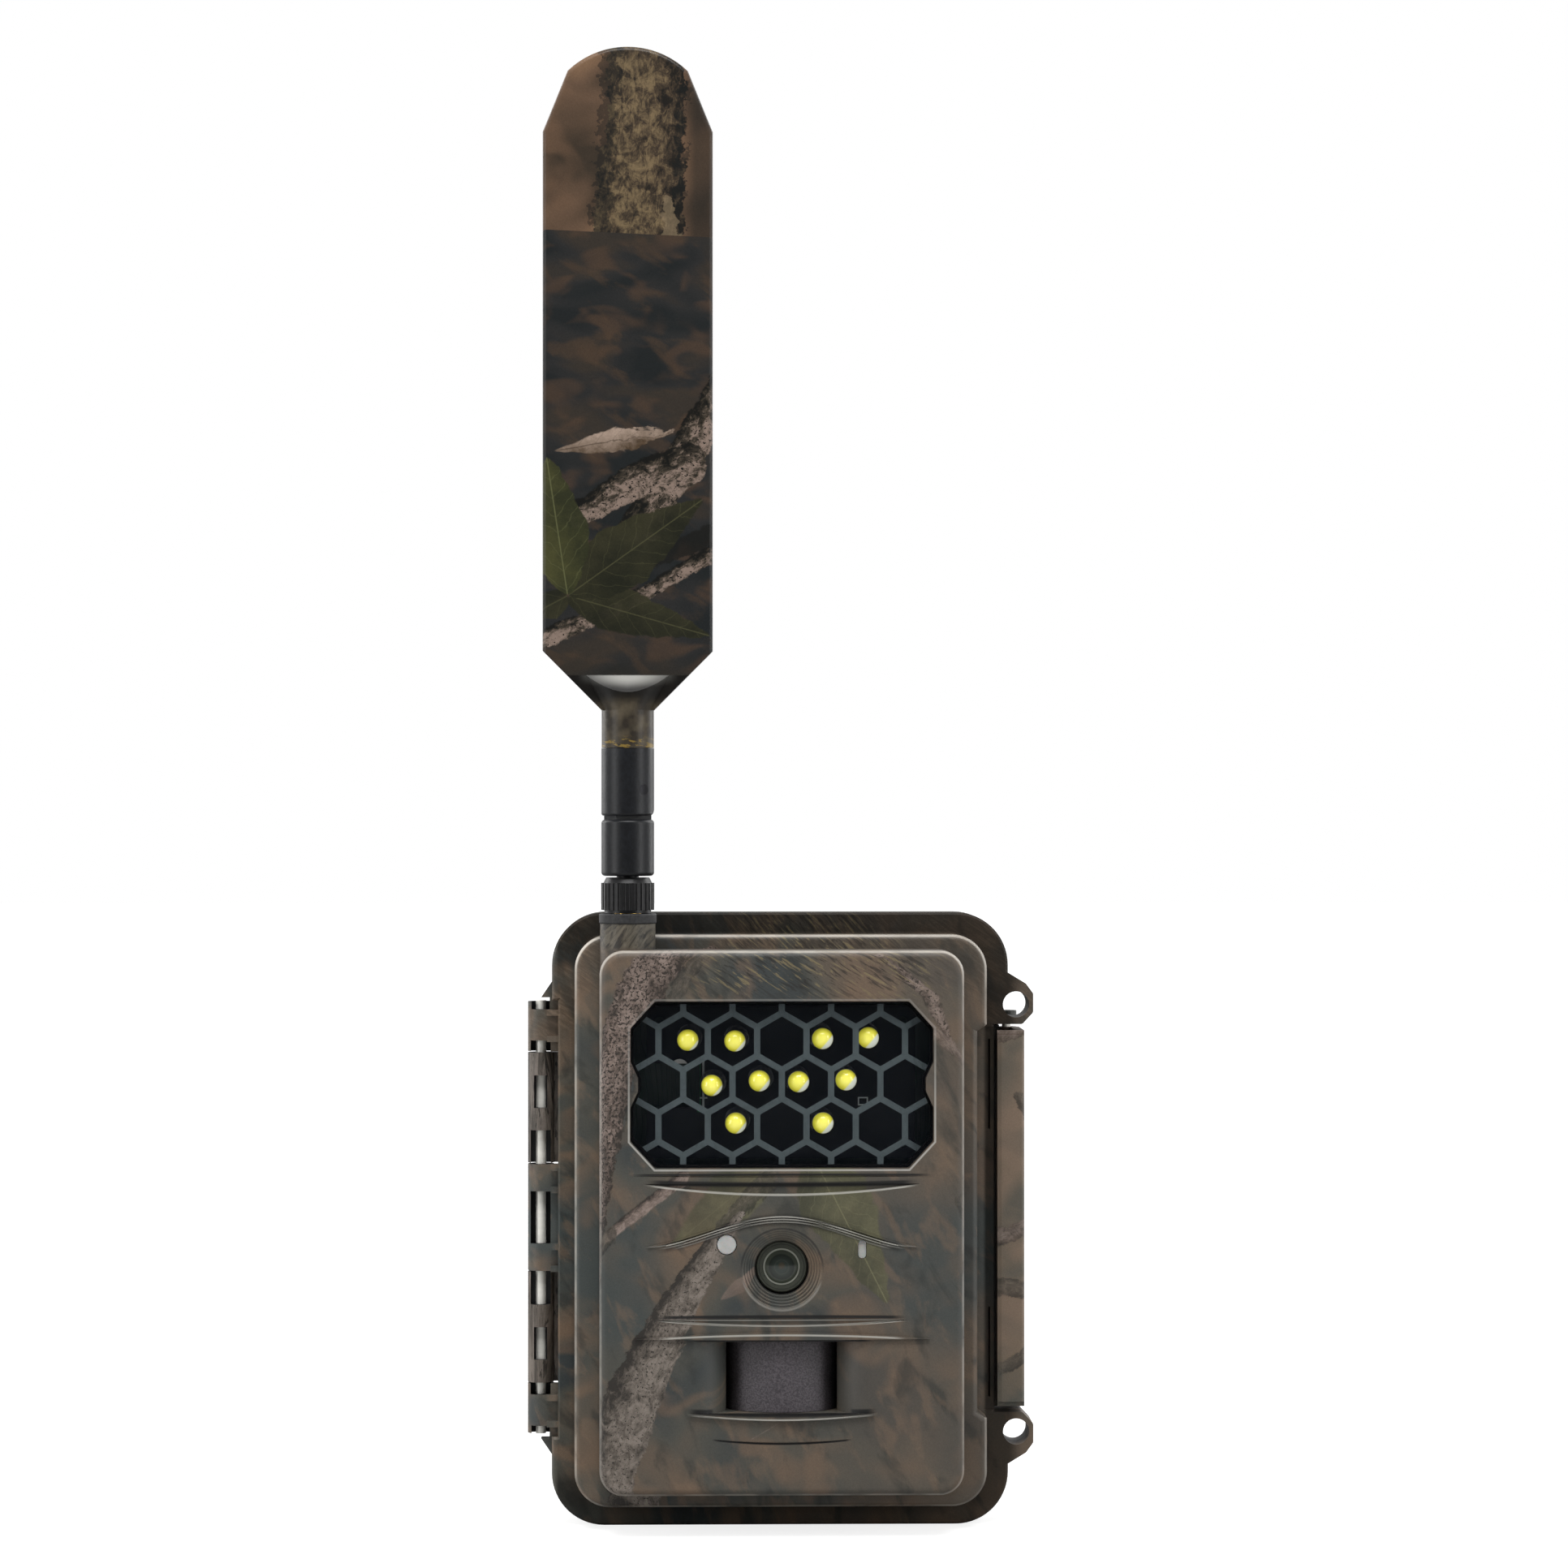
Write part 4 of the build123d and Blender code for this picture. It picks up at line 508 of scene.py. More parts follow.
def arcs(g, x, z, table):
    """One mask for all the arcs in a table."""
    found = None
    for half, ends, mid, width in table:
        mask = stroke(g, x, z - arc_z(x, half, ends, mid), half, width)
        found = mask if found is None else g.most(found, mask)
    return found


def relief_lines(g, x, z):
    """Painted highlights on the lips and painted shade in the hollows of the lines that run across the
    panel, as (light, dark) masks.
    """
    light, dark = arcs(g, x, z, LIT_LIPS), arcs(g, x, z, SHADED_HOLLOWS)
    turn = g.line(g.size(x), 0.0, WAVE_HALF, math.pi / 2, -math.pi / 2)
    crest = g.sine(turn) * WAVE_RISE + WAVE_Z
    # painted highlights on the three ridges of the wave over the lens, and painted shade under it
    for i in range(3):
        mask = stroke(g, x, z - crest + (0.56 * i + 0.05), WAVE_HALF - 3.0 * i, 0.24)
        light = g.most(light, mask * (0.85 - 0.2 * i))
    dark = g.most(dark, stroke(g, x, z - crest + 0.5, 29.0, 1.5) * 0.55)
    return light, dark


def funnel_lines(g, colour, radius, z, mouth, on_panel):
    """Shadows between the steps of the lens funnel, and the shaded and lit sides of its mouth."""
    low = g.rise(z, LENS_Z + 5.0, LENS_Z - 6.0)
    gaps = g.rise(g.sine((radius - 8.9) * (2 * math.pi / 0.58)), 0.0, 0.8) * mouth
    colour = g.mix(gaps * (0.35 + low * 0.45), colour, BLACK)
    lip = g.within(radius - MOUTH_R, 0.4, 0.1) * g.most(on_panel, mouth)
    colour = g.mix(lip * g.rise(low, 0.6, 0.1) * 0.7, colour, BLACK)
    return g.mix(lip * g.rise(low, 0.7, 1.0) * 0.3, colour, srgb(170, 166, 158))


WINDOW_HALF_X, WINDOW_HALF_Z = 33.85, 18.6
CUT_X, CUT_Z, CUT_FROM = 6.0, 5.5, 12.6         # the cut corner: its run, its rise and where it starts


def window_rim_highlight(g, x, z):
    """A painted highlight on the thin edge round the flash window: strong below, faint above."""
    dz = g.size(z - WINDOW_Z)
    corner = (g.size(x) * CUT_X + dz * CUT_Z - WINDOW_HALF_X * CUT_X - CUT_FROM * CUT_Z) / 8.14
    outside = g.most(g.most(g.size(x) - WINDOW_HALF_X, dz - WINDOW_HALF_Z), corner)
    line = g.within(outside - 0.45, 0.3, 0.12)
    return line * g.rise(z, WINDOW_Z + 16.0, WINDOW_Z - 16.0, 0.3, 1.0)


# the two raised steps of the front case: half width, half height, middle height, corner radius
STEP2 = (40.9, 61.1, 70.9, 5.5)
STEP1 = (46.8, 64.9, 70.3, 8.0)
MOUTH_R = 9.1                   # the lens funnel's widest ring


def front_case_paint(g):
    x, y, z, where = g.place()
    u, v = unrolled(g, PANEL_Y, MID_Z)
    colour = grain(g, forest_front(g, u, v), where)
    step2 = rounded_edge(g, x, z, *STEP2)
    step1 = rounded_edge(g, x, z, *STEP1)
    # painted highlight: pale lines along the rounded edges of both steps, broken up by noise and stronger
    # near the top, where the top lamp falls
    edge_highlight = g.most(edge_highlight_line(g, step2, y, PANEL_Y, 0.42), edge_highlight_line(g, step1, y, STEP1_Y, 0.42))
    patchy = g.rise(g.noise(where, 0.12, 4.0, 0.6), 0.3, 0.6)
    high = g.rise(z, 120.0, 131.0)
    colour = g.mix(edge_highlight * (0.04 + patchy * 0.22 + high * 0.3), colour, srgb(196, 190, 180))
    on_panel = g.rise(y, PANEL_Y + 1.8, PANEL_Y + 1.2)
    # painted shade in the hollows and painted highlights on the lips of the lines across the panel
    light, dark = relief_lines(g, x, z)
    colour = g.mix(dark * on_panel * 0.95, colour, BLACK)
    colour = g.mix(light * on_panel * 0.6, colour, srgb(184, 182, 174))
    # painted highlight round the flash window's edge
    colour = g.mix(window_rim_highlight(g, x, z) * on_panel * 0.55, colour, srgb(186, 184, 178))
    facing = g.facing()
    mouth = g.rise(g.length(x, z - LENS_Z), 9.15, 9.0) * g.rise(y, -36.0, -36.4)
    # painted shade: the funnel's risers black; painted light: its treads made 2.5 times brighter against the
    # shade deep in the funnel
    tread = g.rise(facing, 0.7, 0.9) * mouth
    colour = g.scaled(g.mix(mouth - tread, colour, BLACK), tread * 1.5 + 1.0)
    colour = funnel_lines(g, colour, g.length(x, z - LENS_Z), z, mouth, on_panel)
    # painted shade: the flange darker round the top, right and bottom, less at the left and at the foot
    flange = g.rise(y, FLANGE_Y - 1.6, FLANGE_Y - 0.5) * g.within(x, 56.0, 52.0)
    flange = flange * g.rise(x, -51.6, -50.6)
    flange = flange * g.rise(step1, -0.6, 0.6)
    left = g.rise(x, -46.0, -48.0) * g.within(z - MID_Z, 62.0, 54.0)
    foot = g.rise(z, 6.0, 1.0)
    colour = g.scaled(colour, 1.0 - flange * (0.66 - left * 0.55 - foot * 0.2))
    # painted light: the left edge of the case 1.4 times lighter
    colour = g.scaled(colour, g.rise(x, -40.5, -42.0, 1.0, 1.4))
    boss = g.rise(g.length(x - ANT_X, y - ANT_Y), 6.6, 6.4) * g.rise(z, 131.5, 133.0)
    bands = g.noise(g.vector(x * 0.5 - z * 0.35, z * 0.12 + x * 0.1, y * 0.1), 1.0, 5.0, 0.65, 0.8)
    tan = g.ramp(bands, [(0.42, srgb(30, 28, 25)), (0.5, srgb(84, 78, 66)), (0.64, srgb(112, 105, 92))])
    colour = g.mix(boss * 0.85, colour, g.scaled(tan, 0.78))
    # inner faces black, and painted shade inside the hinge knuckles
    inside_and_hinge_shade = g.most(inside_front(g, x, y, z), hinge_hollow(g, x, y))
    surface = film(g, g.mix(inside_and_hinge_shade, colour, BLACK), where)
    surface["Specular IOR Level"] = 0.4 - g.most(flange, inside_and_hinge_shade) * 0.25
    return surface


def hinge_hollow(g, x, y):
    """1 inside the knuckles, where the pin runs in shadow."""
    return g.rise(g.length(x - HINGE_X, y - PART_Y), 2.75, 2.6)


def inside_front(g, x, y, z):
    """1 on the inner faces of the front case, 0 on everything that can be seen when it is shut."""
    deep = g.rise(y, -40.75, -40.65) * g.within(x, 38.9, 38.7) * g.within(z - 70.9, 59.1, 58.9)
    wide = g.rise(y, -28.75, -28.65) * g.within(x, 44.7, 44.5) * g.within(z - 70.3, 62.8, 62.6)
    funnel = g.rise(g.length(x, z - LENS_Z), MOUTH_R + 0.2, MOUTH_R) * g.rise(y, -37.4, -37.6)
    recess = g.within(x, 20.4, 20.2) * g.within(z - PIR_Z, 8.5, 8.3) * g.rise(y, -33.7, -33.9)
    return g.most(deep, wide) * (1.0 - g.most(funnel, recess))


def rear_case_paint(g):
    x, y, z, where = g.place()
    u, v = unrolled(g, 16.0, MID_Z)
    colour = grain(g, forest_tile(g, u, v, 20.0), where)
    # painted shade: the rear case's flange darker
    rim = g.rise(y, -9.6, -10.8) * g.rise(x, -51.6, -50.6)
    colour = g.scaled(colour, g.line(rim, 0.0, 1.0, 1.0, 0.45))
    inside = g.rise(y, 13.8, 13.7) * g.within(x, 46.5, 46.3) * g.within(z - MID_Z, 64.3, 64.2)
    teeth = g.rise(y, 24.2, 25.6) * 0.25
    colour = g.mix(teeth, colour, srgb(150, 144, 134))
    # inner faces dark, and painted shade inside the hinge knuckles
    inside_and_hinge_shade = g.most(inside, hinge_hollow(g, x, y))
    return film(g, g.mix(inside_and_hinge_shade, colour, srgb(16, 17, 18)), where)


def latch_paint(g):
    x, y, z, where = g.place()
    u, v = x * 1.0 + y * 0.9, z + y * 0.25
    haze = (srgb(76, 75, 68), srgb(98, 88, 76), srgb(116, 99, 84), srgb(108, 94, 78))
    colour = blur(g, u, v, 31.0, haze, 0.06)
    limbs = [((34, 92), (44, 76)), ((46, 66), (24, 58)), ((50, 46), (26, 49)), ((24, 104), (46, 112)),
             ((30, 30), (44, 38))]
    for i, points in enumerate(limbs):
        tones = (DARK_BARK, PALE_BARK)[i % 2]
        colour = branch(g, colour, u, v, points, [3.0, 5.0], tones, ragged=1.2, seed=33.0 + i, lit=0.8,
                        strength=0.75)
    return film(g, grain(g, colour, where), where)


def moss_trunk(g, colour, u, v):
    """The rough mossy trunk at the top of the antenna print."""
    moss = (srgb(18, 19, 18), srgb(58, 49, 39), srgb(104, 89, 66))
    trunk = [(-32.0, 340.0), (-31.5, 318.0), (-34.0, 286.0)]
    colour = branch(g, colour, u, v, trunk, [17.0, 18.0, 22.0], moss, ragged=3.6, seed=41.0, lit=-0.6,
                    strength=0.96, speckle=0.0, rough=1.15)
    for start, end, width in (((-39.0, 338.0), (-42.0, 290.0), 4.5), ((-23.0, 326.0), (-24.0, 300.0), 2.2)):
        gloom = strip(g, u, v, start, end, width, width, 5.5, 43.0 + width)
        colour = g.mix(gloom["mask"] * 0.55, colour, srgb(18, 21, 21))
    foot = strip(g, u, v, (-27.0, 300.0), (-24.8, 288.0), 2.0, 5.0, 2.6, 47.0)
    return g.mix(foot["mask"] * 0.4, colour, srgb(128, 112, 88))


def maple(g, colour, u, v, heart):
    """A lobed leaf, its lobes fanned out from heart."""
    light = (srgb(40, 42, 26), srgb(62, 62, 36), srgb(96, 98, 66))
    dark = (srgb(28, 29, 20), srgb(44, 43, 29), srgb(74, 73, 50))
    colour = leaf(g, colour, u, v, heart, (-57.5, 206.0), 7.0, dark, strength=0.95, fullest=0.5, seed=51.0,
                  veins=0.8)
    colour = leaf(g, colour, u, v, heart, (-16.6, 201.2), 11.0, dark, strength=0.97, fullest=0.4,
                  seed=52.0, veins=0.9)
    colour = leaf(g, colour, u, v, heart, (-18.4, 232.4), 15.5, dark, strength=0.98, fullest=0.42,
                  seed=53.0, veins=1.0, blunt=0.7)
    return leaf(g, colour, u, v, heart, (-54.0, 242.0), 14.0, light, strength=0.98, fullest=0.5, seed=54.0,
                veins=1.0, blunt=0.7)


def birch(g, colour, u, v, points, widths, seed, lit):
    """A pale barked limb with a dark mossy side."""
    tones = (srgb(16, 16, 14), srgb(56, 50, 42), srgb(122, 106, 96))
    return branch(g, colour, u, v, points, widths, tones, ragged=1.3, seed=seed, lit=lit, strength=0.98,
                  speckle=0.3, rough=1.25)


def antenna_paint(g):
    x, y, z, where = g.place()
    u, v = x + (y - ANT_Y) * 0.35, z + (y - ANT_Y) * 0.5
    dusk = (srgb(26, 29, 30), srgb(36, 36, 36), srgb(46, 41, 36), srgb(70, 54, 42))
    below = blur(g, u, v * 1.7, 46.0, dusk, 0.05)
    below = smudges(g, u * 0.6, v * 1.4, below, 0.16, srgb(66, 52, 40), 0.5, 56.0)
    glade = (srgb(50, 42, 34), srgb(84, 66, 52), srgb(108, 84, 64), srgb(92, 71, 55))
    above = blur(g, u, v, 48.0, glade, 0.05)
    above = g.mix(g.rise(u, -24.0, -20.0) * 0.8, above, srgb(40, 35, 30))
    above = moss_trunk(g, above, u, v)
    dry = (srgb(70, 56, 42), srgb(150, 132, 118), srgb(48, 38, 28))
    curl = g.noise(g.vector(u * 0.25, v * 0.5, 45.0), 1.0, 4.0, 0.6) * 5.0 - 2.5
    curled_v = v + curl * g.rise(u, -50.0, -30.0)
    below = leaf(g, below, u, curled_v, (-52.4, 243.0), (-24.6, 247.6), 5.4, dry, strength=0.95,
                 fullest=0.55, seed=45.0, veins=1.0, blunt=1.1)
    bole = [(-12.0, 262.0), (-22.0, 243.0), (-33.0, 226.0)]
    below = birch(g, below, u, v, bole, [7.0, 8.5, 9.5], 61.0, 1.4)
    arm = [(-22.0, 240.0), (-34.0, 236.5), (-46.5, 229.0)]
    below = birch(g, below, u, v, arm, [9.5, 8.5, 6.5], 62.0, -1.5)
    gloom = strip(g, u, v, (-13.0, 226.0), (-40.0, 214.0), 5.0, 4.0, 1.4, 63.0)
    below = g.mix(gloom["mask"] * 0.85, below, srgb(20, 20, 18))
    low_limb = [(-12.0, 222.6), (-34.0, 209.8), (-57.0, 199.6)]
    below = birch(g, below, u, v, low_limb, [4.4, 3.8, 4.8], 64.0, -1.6)
    below = maple(g, below, u, v, (-49.2, 210.4))
    below = g.mix(g.rise(v, 199.0, 190.0) * 0.6, below, srgb(40, 36, 30))
    seam = g.rise(v + (u - ANT_X) * 0.045, 292.05, 292.2)
    colour = grain(g, g.mix(seam, below, above), where)
    neck = g.ramp(g.noise(where, 0.3, 4.0), [(0.35, srgb(42, 37, 31)), (0.7, srgb(82, 74, 60))])
    colour = g.mix(g.rise(v, 187.5, 184.5) * 0.85, colour, neck)
    chips = g.noise(g.vector(x * 0.5 + z * 0.4, z * 1.2, 5.0), 1.0, 3.0, 0.6)
    colour = g.mix(g.rise(chips, 0.52, 0.6) * g.rise(z, 180.5, 178.6), colour, srgb(118, 98, 48))
    scuffs = g.rise(g.noise(g.vector(u * 1.3, v * 0.5, 70.0), 1.0, 3.0, 0.7), 0.77, 0.81)
    colour = g.mix(scuffs * 0.5, colour, srgb(150, 146, 138))
    drop = FLARE_TOP - z
    across = g.size(x - ANT_X)
    # painted shade: the flare's upward facet darkened against the top lamp
    flare = g.rise(drop, 0.0, 0.3) * g.rise(drop, 8.0, 4.0) * g.rise(g.facing(), 0.2, 0.5)
    colour = g.scaled(colour, 1.0 - flare * 0.72)
    # painted highlight: a soft V of light at the top of the flare
    gleam = g.rise(drop + across * 0.1, 3.6, 0.8) * g.rise(across, 12.0, 1.0) * flare
    colour = g.mix(gleam * 0.42, colour, srgb(206, 205, 198))
    surface = film(g, colour, where, 0.45)
    surface["Roughness"] = 0.32 + g.noise(where, 0.05, 2.0) * 0.12
    return surface


# ---------------- plain moulded, metal and glass surfaces
def moulded(dark, light, roughness=0.5, grain_scale=1.6, relief=0.05, specular=0.5):
    """A painter for moulded plastic or rubber: two tones, a fine pore texture and uneven sheen."""
    def paint(g):
        where = g.where()
        pores = g.noise(where, grain_scale, 3.0, 0.6)
        smudge = g.noise(where, 0.09, 3.0, 0.6, 0.4)
        colour = g.mix(g.rise(pores * 0.6 + smudge * 0.4, 0.35, 0.65), dark, light)
        return {
            "Base Color": colour,
            "Roughness": roughness - 0.08 + smudge * 0.16,
            "Specular IOR Level": specular,
            "height": pores * relief,
        }
    return paint


def metal(colour, roughness=0.3, stretch=(0.4, 0.4, 6.0), scratch=0.02, metallic=1.0):
    """A painter for machined metal with fine tool marks, stretched along the slow axes."""
    def paint(g):
        x, y, z, where = g.place()
        marks = g.noise(g.vector(x * stretch[0], y * stretch[1], z * stretch[2]), 1.0, 4.0, 0.7)
        dull = g.noise(where, 0.3, 3.0, 0.6)
        dim = tuple(c * 0.86 for c in colour)
        return {
            "Base Color": g.mix(g.rise(dull * 0.5 + marks * 0.5, 0.35, 0.65), dim, colour),
            "Metallic": metallic,
            "Roughness": roughness - 0.05 + marks * 0.12,
            "height": marks * scratch * 0.2,
        }
    return paint


def pane_paint(g):
    """Smoked clear pane with a trace of dust."""
    where = g.where()
    dust = g.rise(g.noise(where, 0.9, 5.0, 0.7), 0.62, 0.8)
    haze = g.noise(where, 0.05, 2.0)
    return {
        "Base Color": g.mix(dust, srgb(10, 16, 24), srgb(60, 64, 68)),
        "Roughness": 0.04 + haze * 0.06,
        "Specular IOR Level": 0.3,
        "Alpha": 0.14 + dust * 0.05,
    }


def mask_paint(g):
    where = g.where()
    ink = g.noise(where, 1.2, 3.0)
    return {"Base Color": g.mix(ink, srgb(70, 80, 83), srgb(84, 95, 98)), "Roughness": 0.6,
            "height": ink * 0.01}


def flash_board_paint(g):
    """Black board with a green edge, pale tracks and a round white part."""
    x, _, z, where = g.place()
    speck = g.noise(where, 0.8, 3.0)
    colour = g.mix(speck, srgb(6, 9, 14), srgb(14, 18, 24))
    edge = g.within(x + 18.6, 0.5, 0.3) * g.within(z - 101.0, 6.2, 5.8)
    colour = g.mix(edge, colour, srgb(24, 84, 52))
    bar = g.within(z - 98.2, 0.25, 0.15) * g.within(x + 19.0, 2.4, 2.2)
    silk = g.within(x + 17.6, 0.28, 0.2) + bar
    part = g.most(g.size(x - 18.6) - 1.0, g.size(z - 97.4) - 0.8)
    silk = silk * g.within(z - 101.0, 6.4, 6.2) + g.within(part, 0.2, 0.1)
    colour = g.mix(g.least(silk, 1.0) * 0.75, colour, srgb(170, 178, 176))
    button = g.rise(g.length(x + 23.0, z - 105.0), 2.1, 1.9)
    colour = g.mix(button, colour, srgb(214, 216, 214))
    return {"Base Color": colour, "Roughness": 0.4, "Specular IOR Level": 0.25, "height": speck * 0.02}


def led_paint(g):
    """Clear epoxy with yellow phosphor behind the dome, with a painted glint, a painted pale rim of
    reflection and a painted glow.
    """
    x, y, _, where = g.place()
    facing = g.facing()
    dome = g.rise(y, -34.6, -35.8)
    phosphor = g.rise(facing, 0.22, 0.4) * dome
    glow = g.noise(where, 0.5, 2.0)
    tones = [(0.4, srgb(170, 166, 44)), (0.75, srgb(222, 216, 74)), (1.0, srgb(240, 234, 108))]
    yellow = g.ramp(facing + (glow - 0.5) * 0.3, tones)
    # painted highlight: a white glint on the lower right of each dome
    corner = g.aside(0.75, -0.65)
    glint = g.rise(corner + x * 0.008, 0.46, 0.64) * g.rise(facing, 0.2, 0.5)
    yellow = g.mix(glint * 0.85, yellow, srgb(206, 212, 212))
    # painted reflection: a pale rim round the dome
    rim = g.rise(facing, 0.1, 0.22) * dome
    clear = g.mix(rim, srgb(34, 37, 40), srgb(150, 152, 144))
    # painted light: the phosphor glows though the flash is off
    return {
        "Base Color": g.mix(phosphor, clear, yellow),
        "Emission Color": yellow,
        "Emission Strength": phosphor * 0.75,
        "Roughness": 0.12,
        "Coat Weight": 0.6,
        "Coat Roughness": 0.05,
        "Alpha": 0.55 + phosphor * 0.45 + rim * 0.1,
    }


def barrel_paint(g):
    """Grey-green lens barrel, finely turned, with a painted highlight ring near its edge."""
    x, _, z, where = g.place()
    radius = g.length(x, z - LENS_Z)
    rings = g.sine(radius * 24.0)
    colour = g.mix(g.noise(where, 1.5, 3.0), srgb(72, 75, 66), srgb(88, 91, 80))
    colour = g.mix(g.within(radius - 5.1, 0.2, 0.1) * 0.5, colour, srgb(30, 31, 28))
    # painted highlight: a pale ring near the barrel's edge
    colour = g.mix(g.within(radius - 5.7, 0.14, 0.06) * 0.5, colour, srgb(110, 110, 102))
    return {"Base Color": colour, "Roughness": 0.5, "Specular IOR Level": 0.3, "height": rings * 0.01}


def front_glass_paint(g):
    """Coated glass: a painted highlight round the edge, a dark grey-green face and a warm spot deep in the
    middle.
    """
    x, _, z, _ = g.place()
    radius = g.length(x, z - LENS_Z)
    spot = g.length(x, z - LENS_Z - 0.3)
    face = [(0.0, srgb(58, 68, 66)), (0.35, srgb(62, 72, 66)), (0.66, srgb(44, 50, 44)),
            (0.72, srgb(74, 80, 68)), (1.0, srgb(82, 88, 74))]
    colour = g.ramp(g.line(radius, 0.0, 4.2), face)
    # painted highlight: a bright ring round the edge of the glass
    colour = g.mix(g.within(radius - 3.95, 0.26, 0.1), colour, srgb(206, 208, 196))
    colour = g.mix(g.within(radius - 1.6, 0.2, 0.08) * 0.4, colour, srgb(84, 88, 80))
    colour = g.mix(g.rise(spot, 1.1, 0.3) * 0.8, colour, srgb(88, 78, 62))
    return {"Base Color": colour, "Roughness": 0.12, "Specular IOR Level": 0.4, "Coat Weight": 0.4}


def curtain_paint(g):
    """Finely grained dark plastic of the motion sensor's curtain lens, with painted shade on the sides that
    turn away from the front.
    """
    where = g.where()
    fine = g.noise(where, 2.6, 2.0, 0.6)
    # painted shade: darker where the surface turns away from the front
    front_lit = g.rise(g.facing(), 0.45, 0.85)
    violet = g.mix(g.rise(fine, 0.3, 0.7), srgb(50, 46, 50), srgb(80, 75, 79))
    return {
        "Base Color": g.scaled(violet, 0.06 + front_lit * 0.94),
        "Roughness": 0.55,
        "Specular IOR Level": 0.4,
        "height": fine * 0.12,
    }


def pale_lens_paint(g):
    """Milky window of the light sensor and of the status light."""
    where = g.where()
    cloud = g.noise(where, 0.8, 3.0)
    return {
        "Base Color": g.mix(cloud, srgb(156, 156, 154), srgb(178, 178, 176)),
        "Roughness": 0.35,
        "Subsurface Weight": 0.2,
        "Subsurface Scale": 0.001,
        "Specular IOR Level": 0.35,
        "height": cloud * 0.05,
    }


CELL_PITCH, LOWER_CELLS_Z, CELL_ROWS_APART = 15.0, 44.0, 58.0


def cell_paint(g):
    """Plain two-tone cell wrapper between bare steel ends."""
    x, _, z, where = g.place()
    column = g.math("MODULO", g.math("FLOOR", (x + 3 * CELL_PITCH) / CELL_PITCH), 2.0)
    upper = g.rise(z, 72.9, 73.1)
    mid = LOWER_CELLS_Z + upper * CELL_ROWS_APART
    local = (z - mid) * (1.0 - column * 2.0)
    ends = g.rise(g.size(local), 23.9, 24.1)
    wrap = g.mix(g.rise(-local, 12.0, 12.2), srgb(28, 29, 31), srgb(176, 112, 46))
    scuff = g.noise(where, 0.5, 4.0, 0.65)
    wrap = g.scaled(wrap, 0.85 + scuff * 0.3)
    return {
        "Base Color": g.mix(ends, wrap, srgb(190, 188, 182)),
        "Metallic": ends,
        "Roughness": 0.28 + scuff * 0.15,
        "height": scuff * 0.02,
    }


def board_paint(g):
    """Green circuit board with copper tracks and pale pads."""
    x, _, _, where = g.place()
    tracks = g.within(g.sine((x + g.noise(where, 0.05, 1.0) * 12.0) * 2.4), 0.16, 0.1)
    blocks = g.rise(g.cells(where, 0.16), 0.36, 0.34)
    colour = g.mix(tracks * 0.35, srgb(10, 34, 24), srgb(30, 74, 50))
    colour = g.mix(blocks * 0.5, colour, srgb(20, 24, 24))
    return {"Base Color": colour, "Roughness": 0.35, "height": tracks * 0.05}


def display_paint(g):
    """Unlit screen inside a thin metal frame."""
    x, _, z, where = g.place()
    edge = g.most(g.size(x + 1.0) - 22.4, g.size(z - 101.0) - 17.2)
    frame_share = g.rise(edge, -0.2, 0.0)
    screen = g.mix(g.noise(where, 0.06, 2.0), srgb(26, 30, 34), srgb(38, 43, 48))
    return {
        "Base Color": g.mix(frame_share, screen, srgb(140, 140, 136)),
        "Metallic": frame_share,
        "Roughness": 0.18,
        "height": g.noise(where, 2.0) * 0.01,
    }


KEYS_X, KEYS_Z, MENU_X = 14.0, 66.0, -12.0      # middle of the ring of keys, and the menu key


def key_paint(g):
    """Dark silicone with a small pale arrow or dot on each cap."""
    x, y, z, where = g.place()
    dx, dz = x - KEYS_X, z - KEYS_Z
    reach = g.length(dx, dz)
    arrows = g.rise(g.size(g.size(dx) - g.size(dz)), 7.2, 7.6) * g.within(reach - 8.6, 1.1, 0.9)
    narrow = g.rise(g.least(g.size(dx), g.size(dz)), 0.9, 0.7)
    ok = g.within(reach - 1.1, 0.3, 0.15)
    bars = g.within(g.sine(dz * 2.6), 0.5, 0.3) * g.within(dz, 1.6, 1.5)
    menu = g.within(x - MENU_X, 1.4, 1.3) * bars
    mark = g.least(arrows * narrow + ok + menu, 1.0) * g.rise(y, -16.2, -15.9)
    pores = g.noise(where, 1.8, 3.0)
    return {
        "Base Color": g.mix(mark * 0.8, g.mix(pores, srgb(40, 41, 43), srgb(58, 59, 61)),
                            srgb(205, 206, 204)),
        "Roughness": 0.6,
        "height": pores * 0.05,
    }


def clear_paint(tint, alpha):
    def paint(g):
        where = g.where()
        haze = g.noise(where, 0.3, 3.0)
        return {"Base Color": tint, "Roughness": 0.05 + haze * 0.08, "Alpha": alpha, "Coat Weight": 0.5}
    return paint


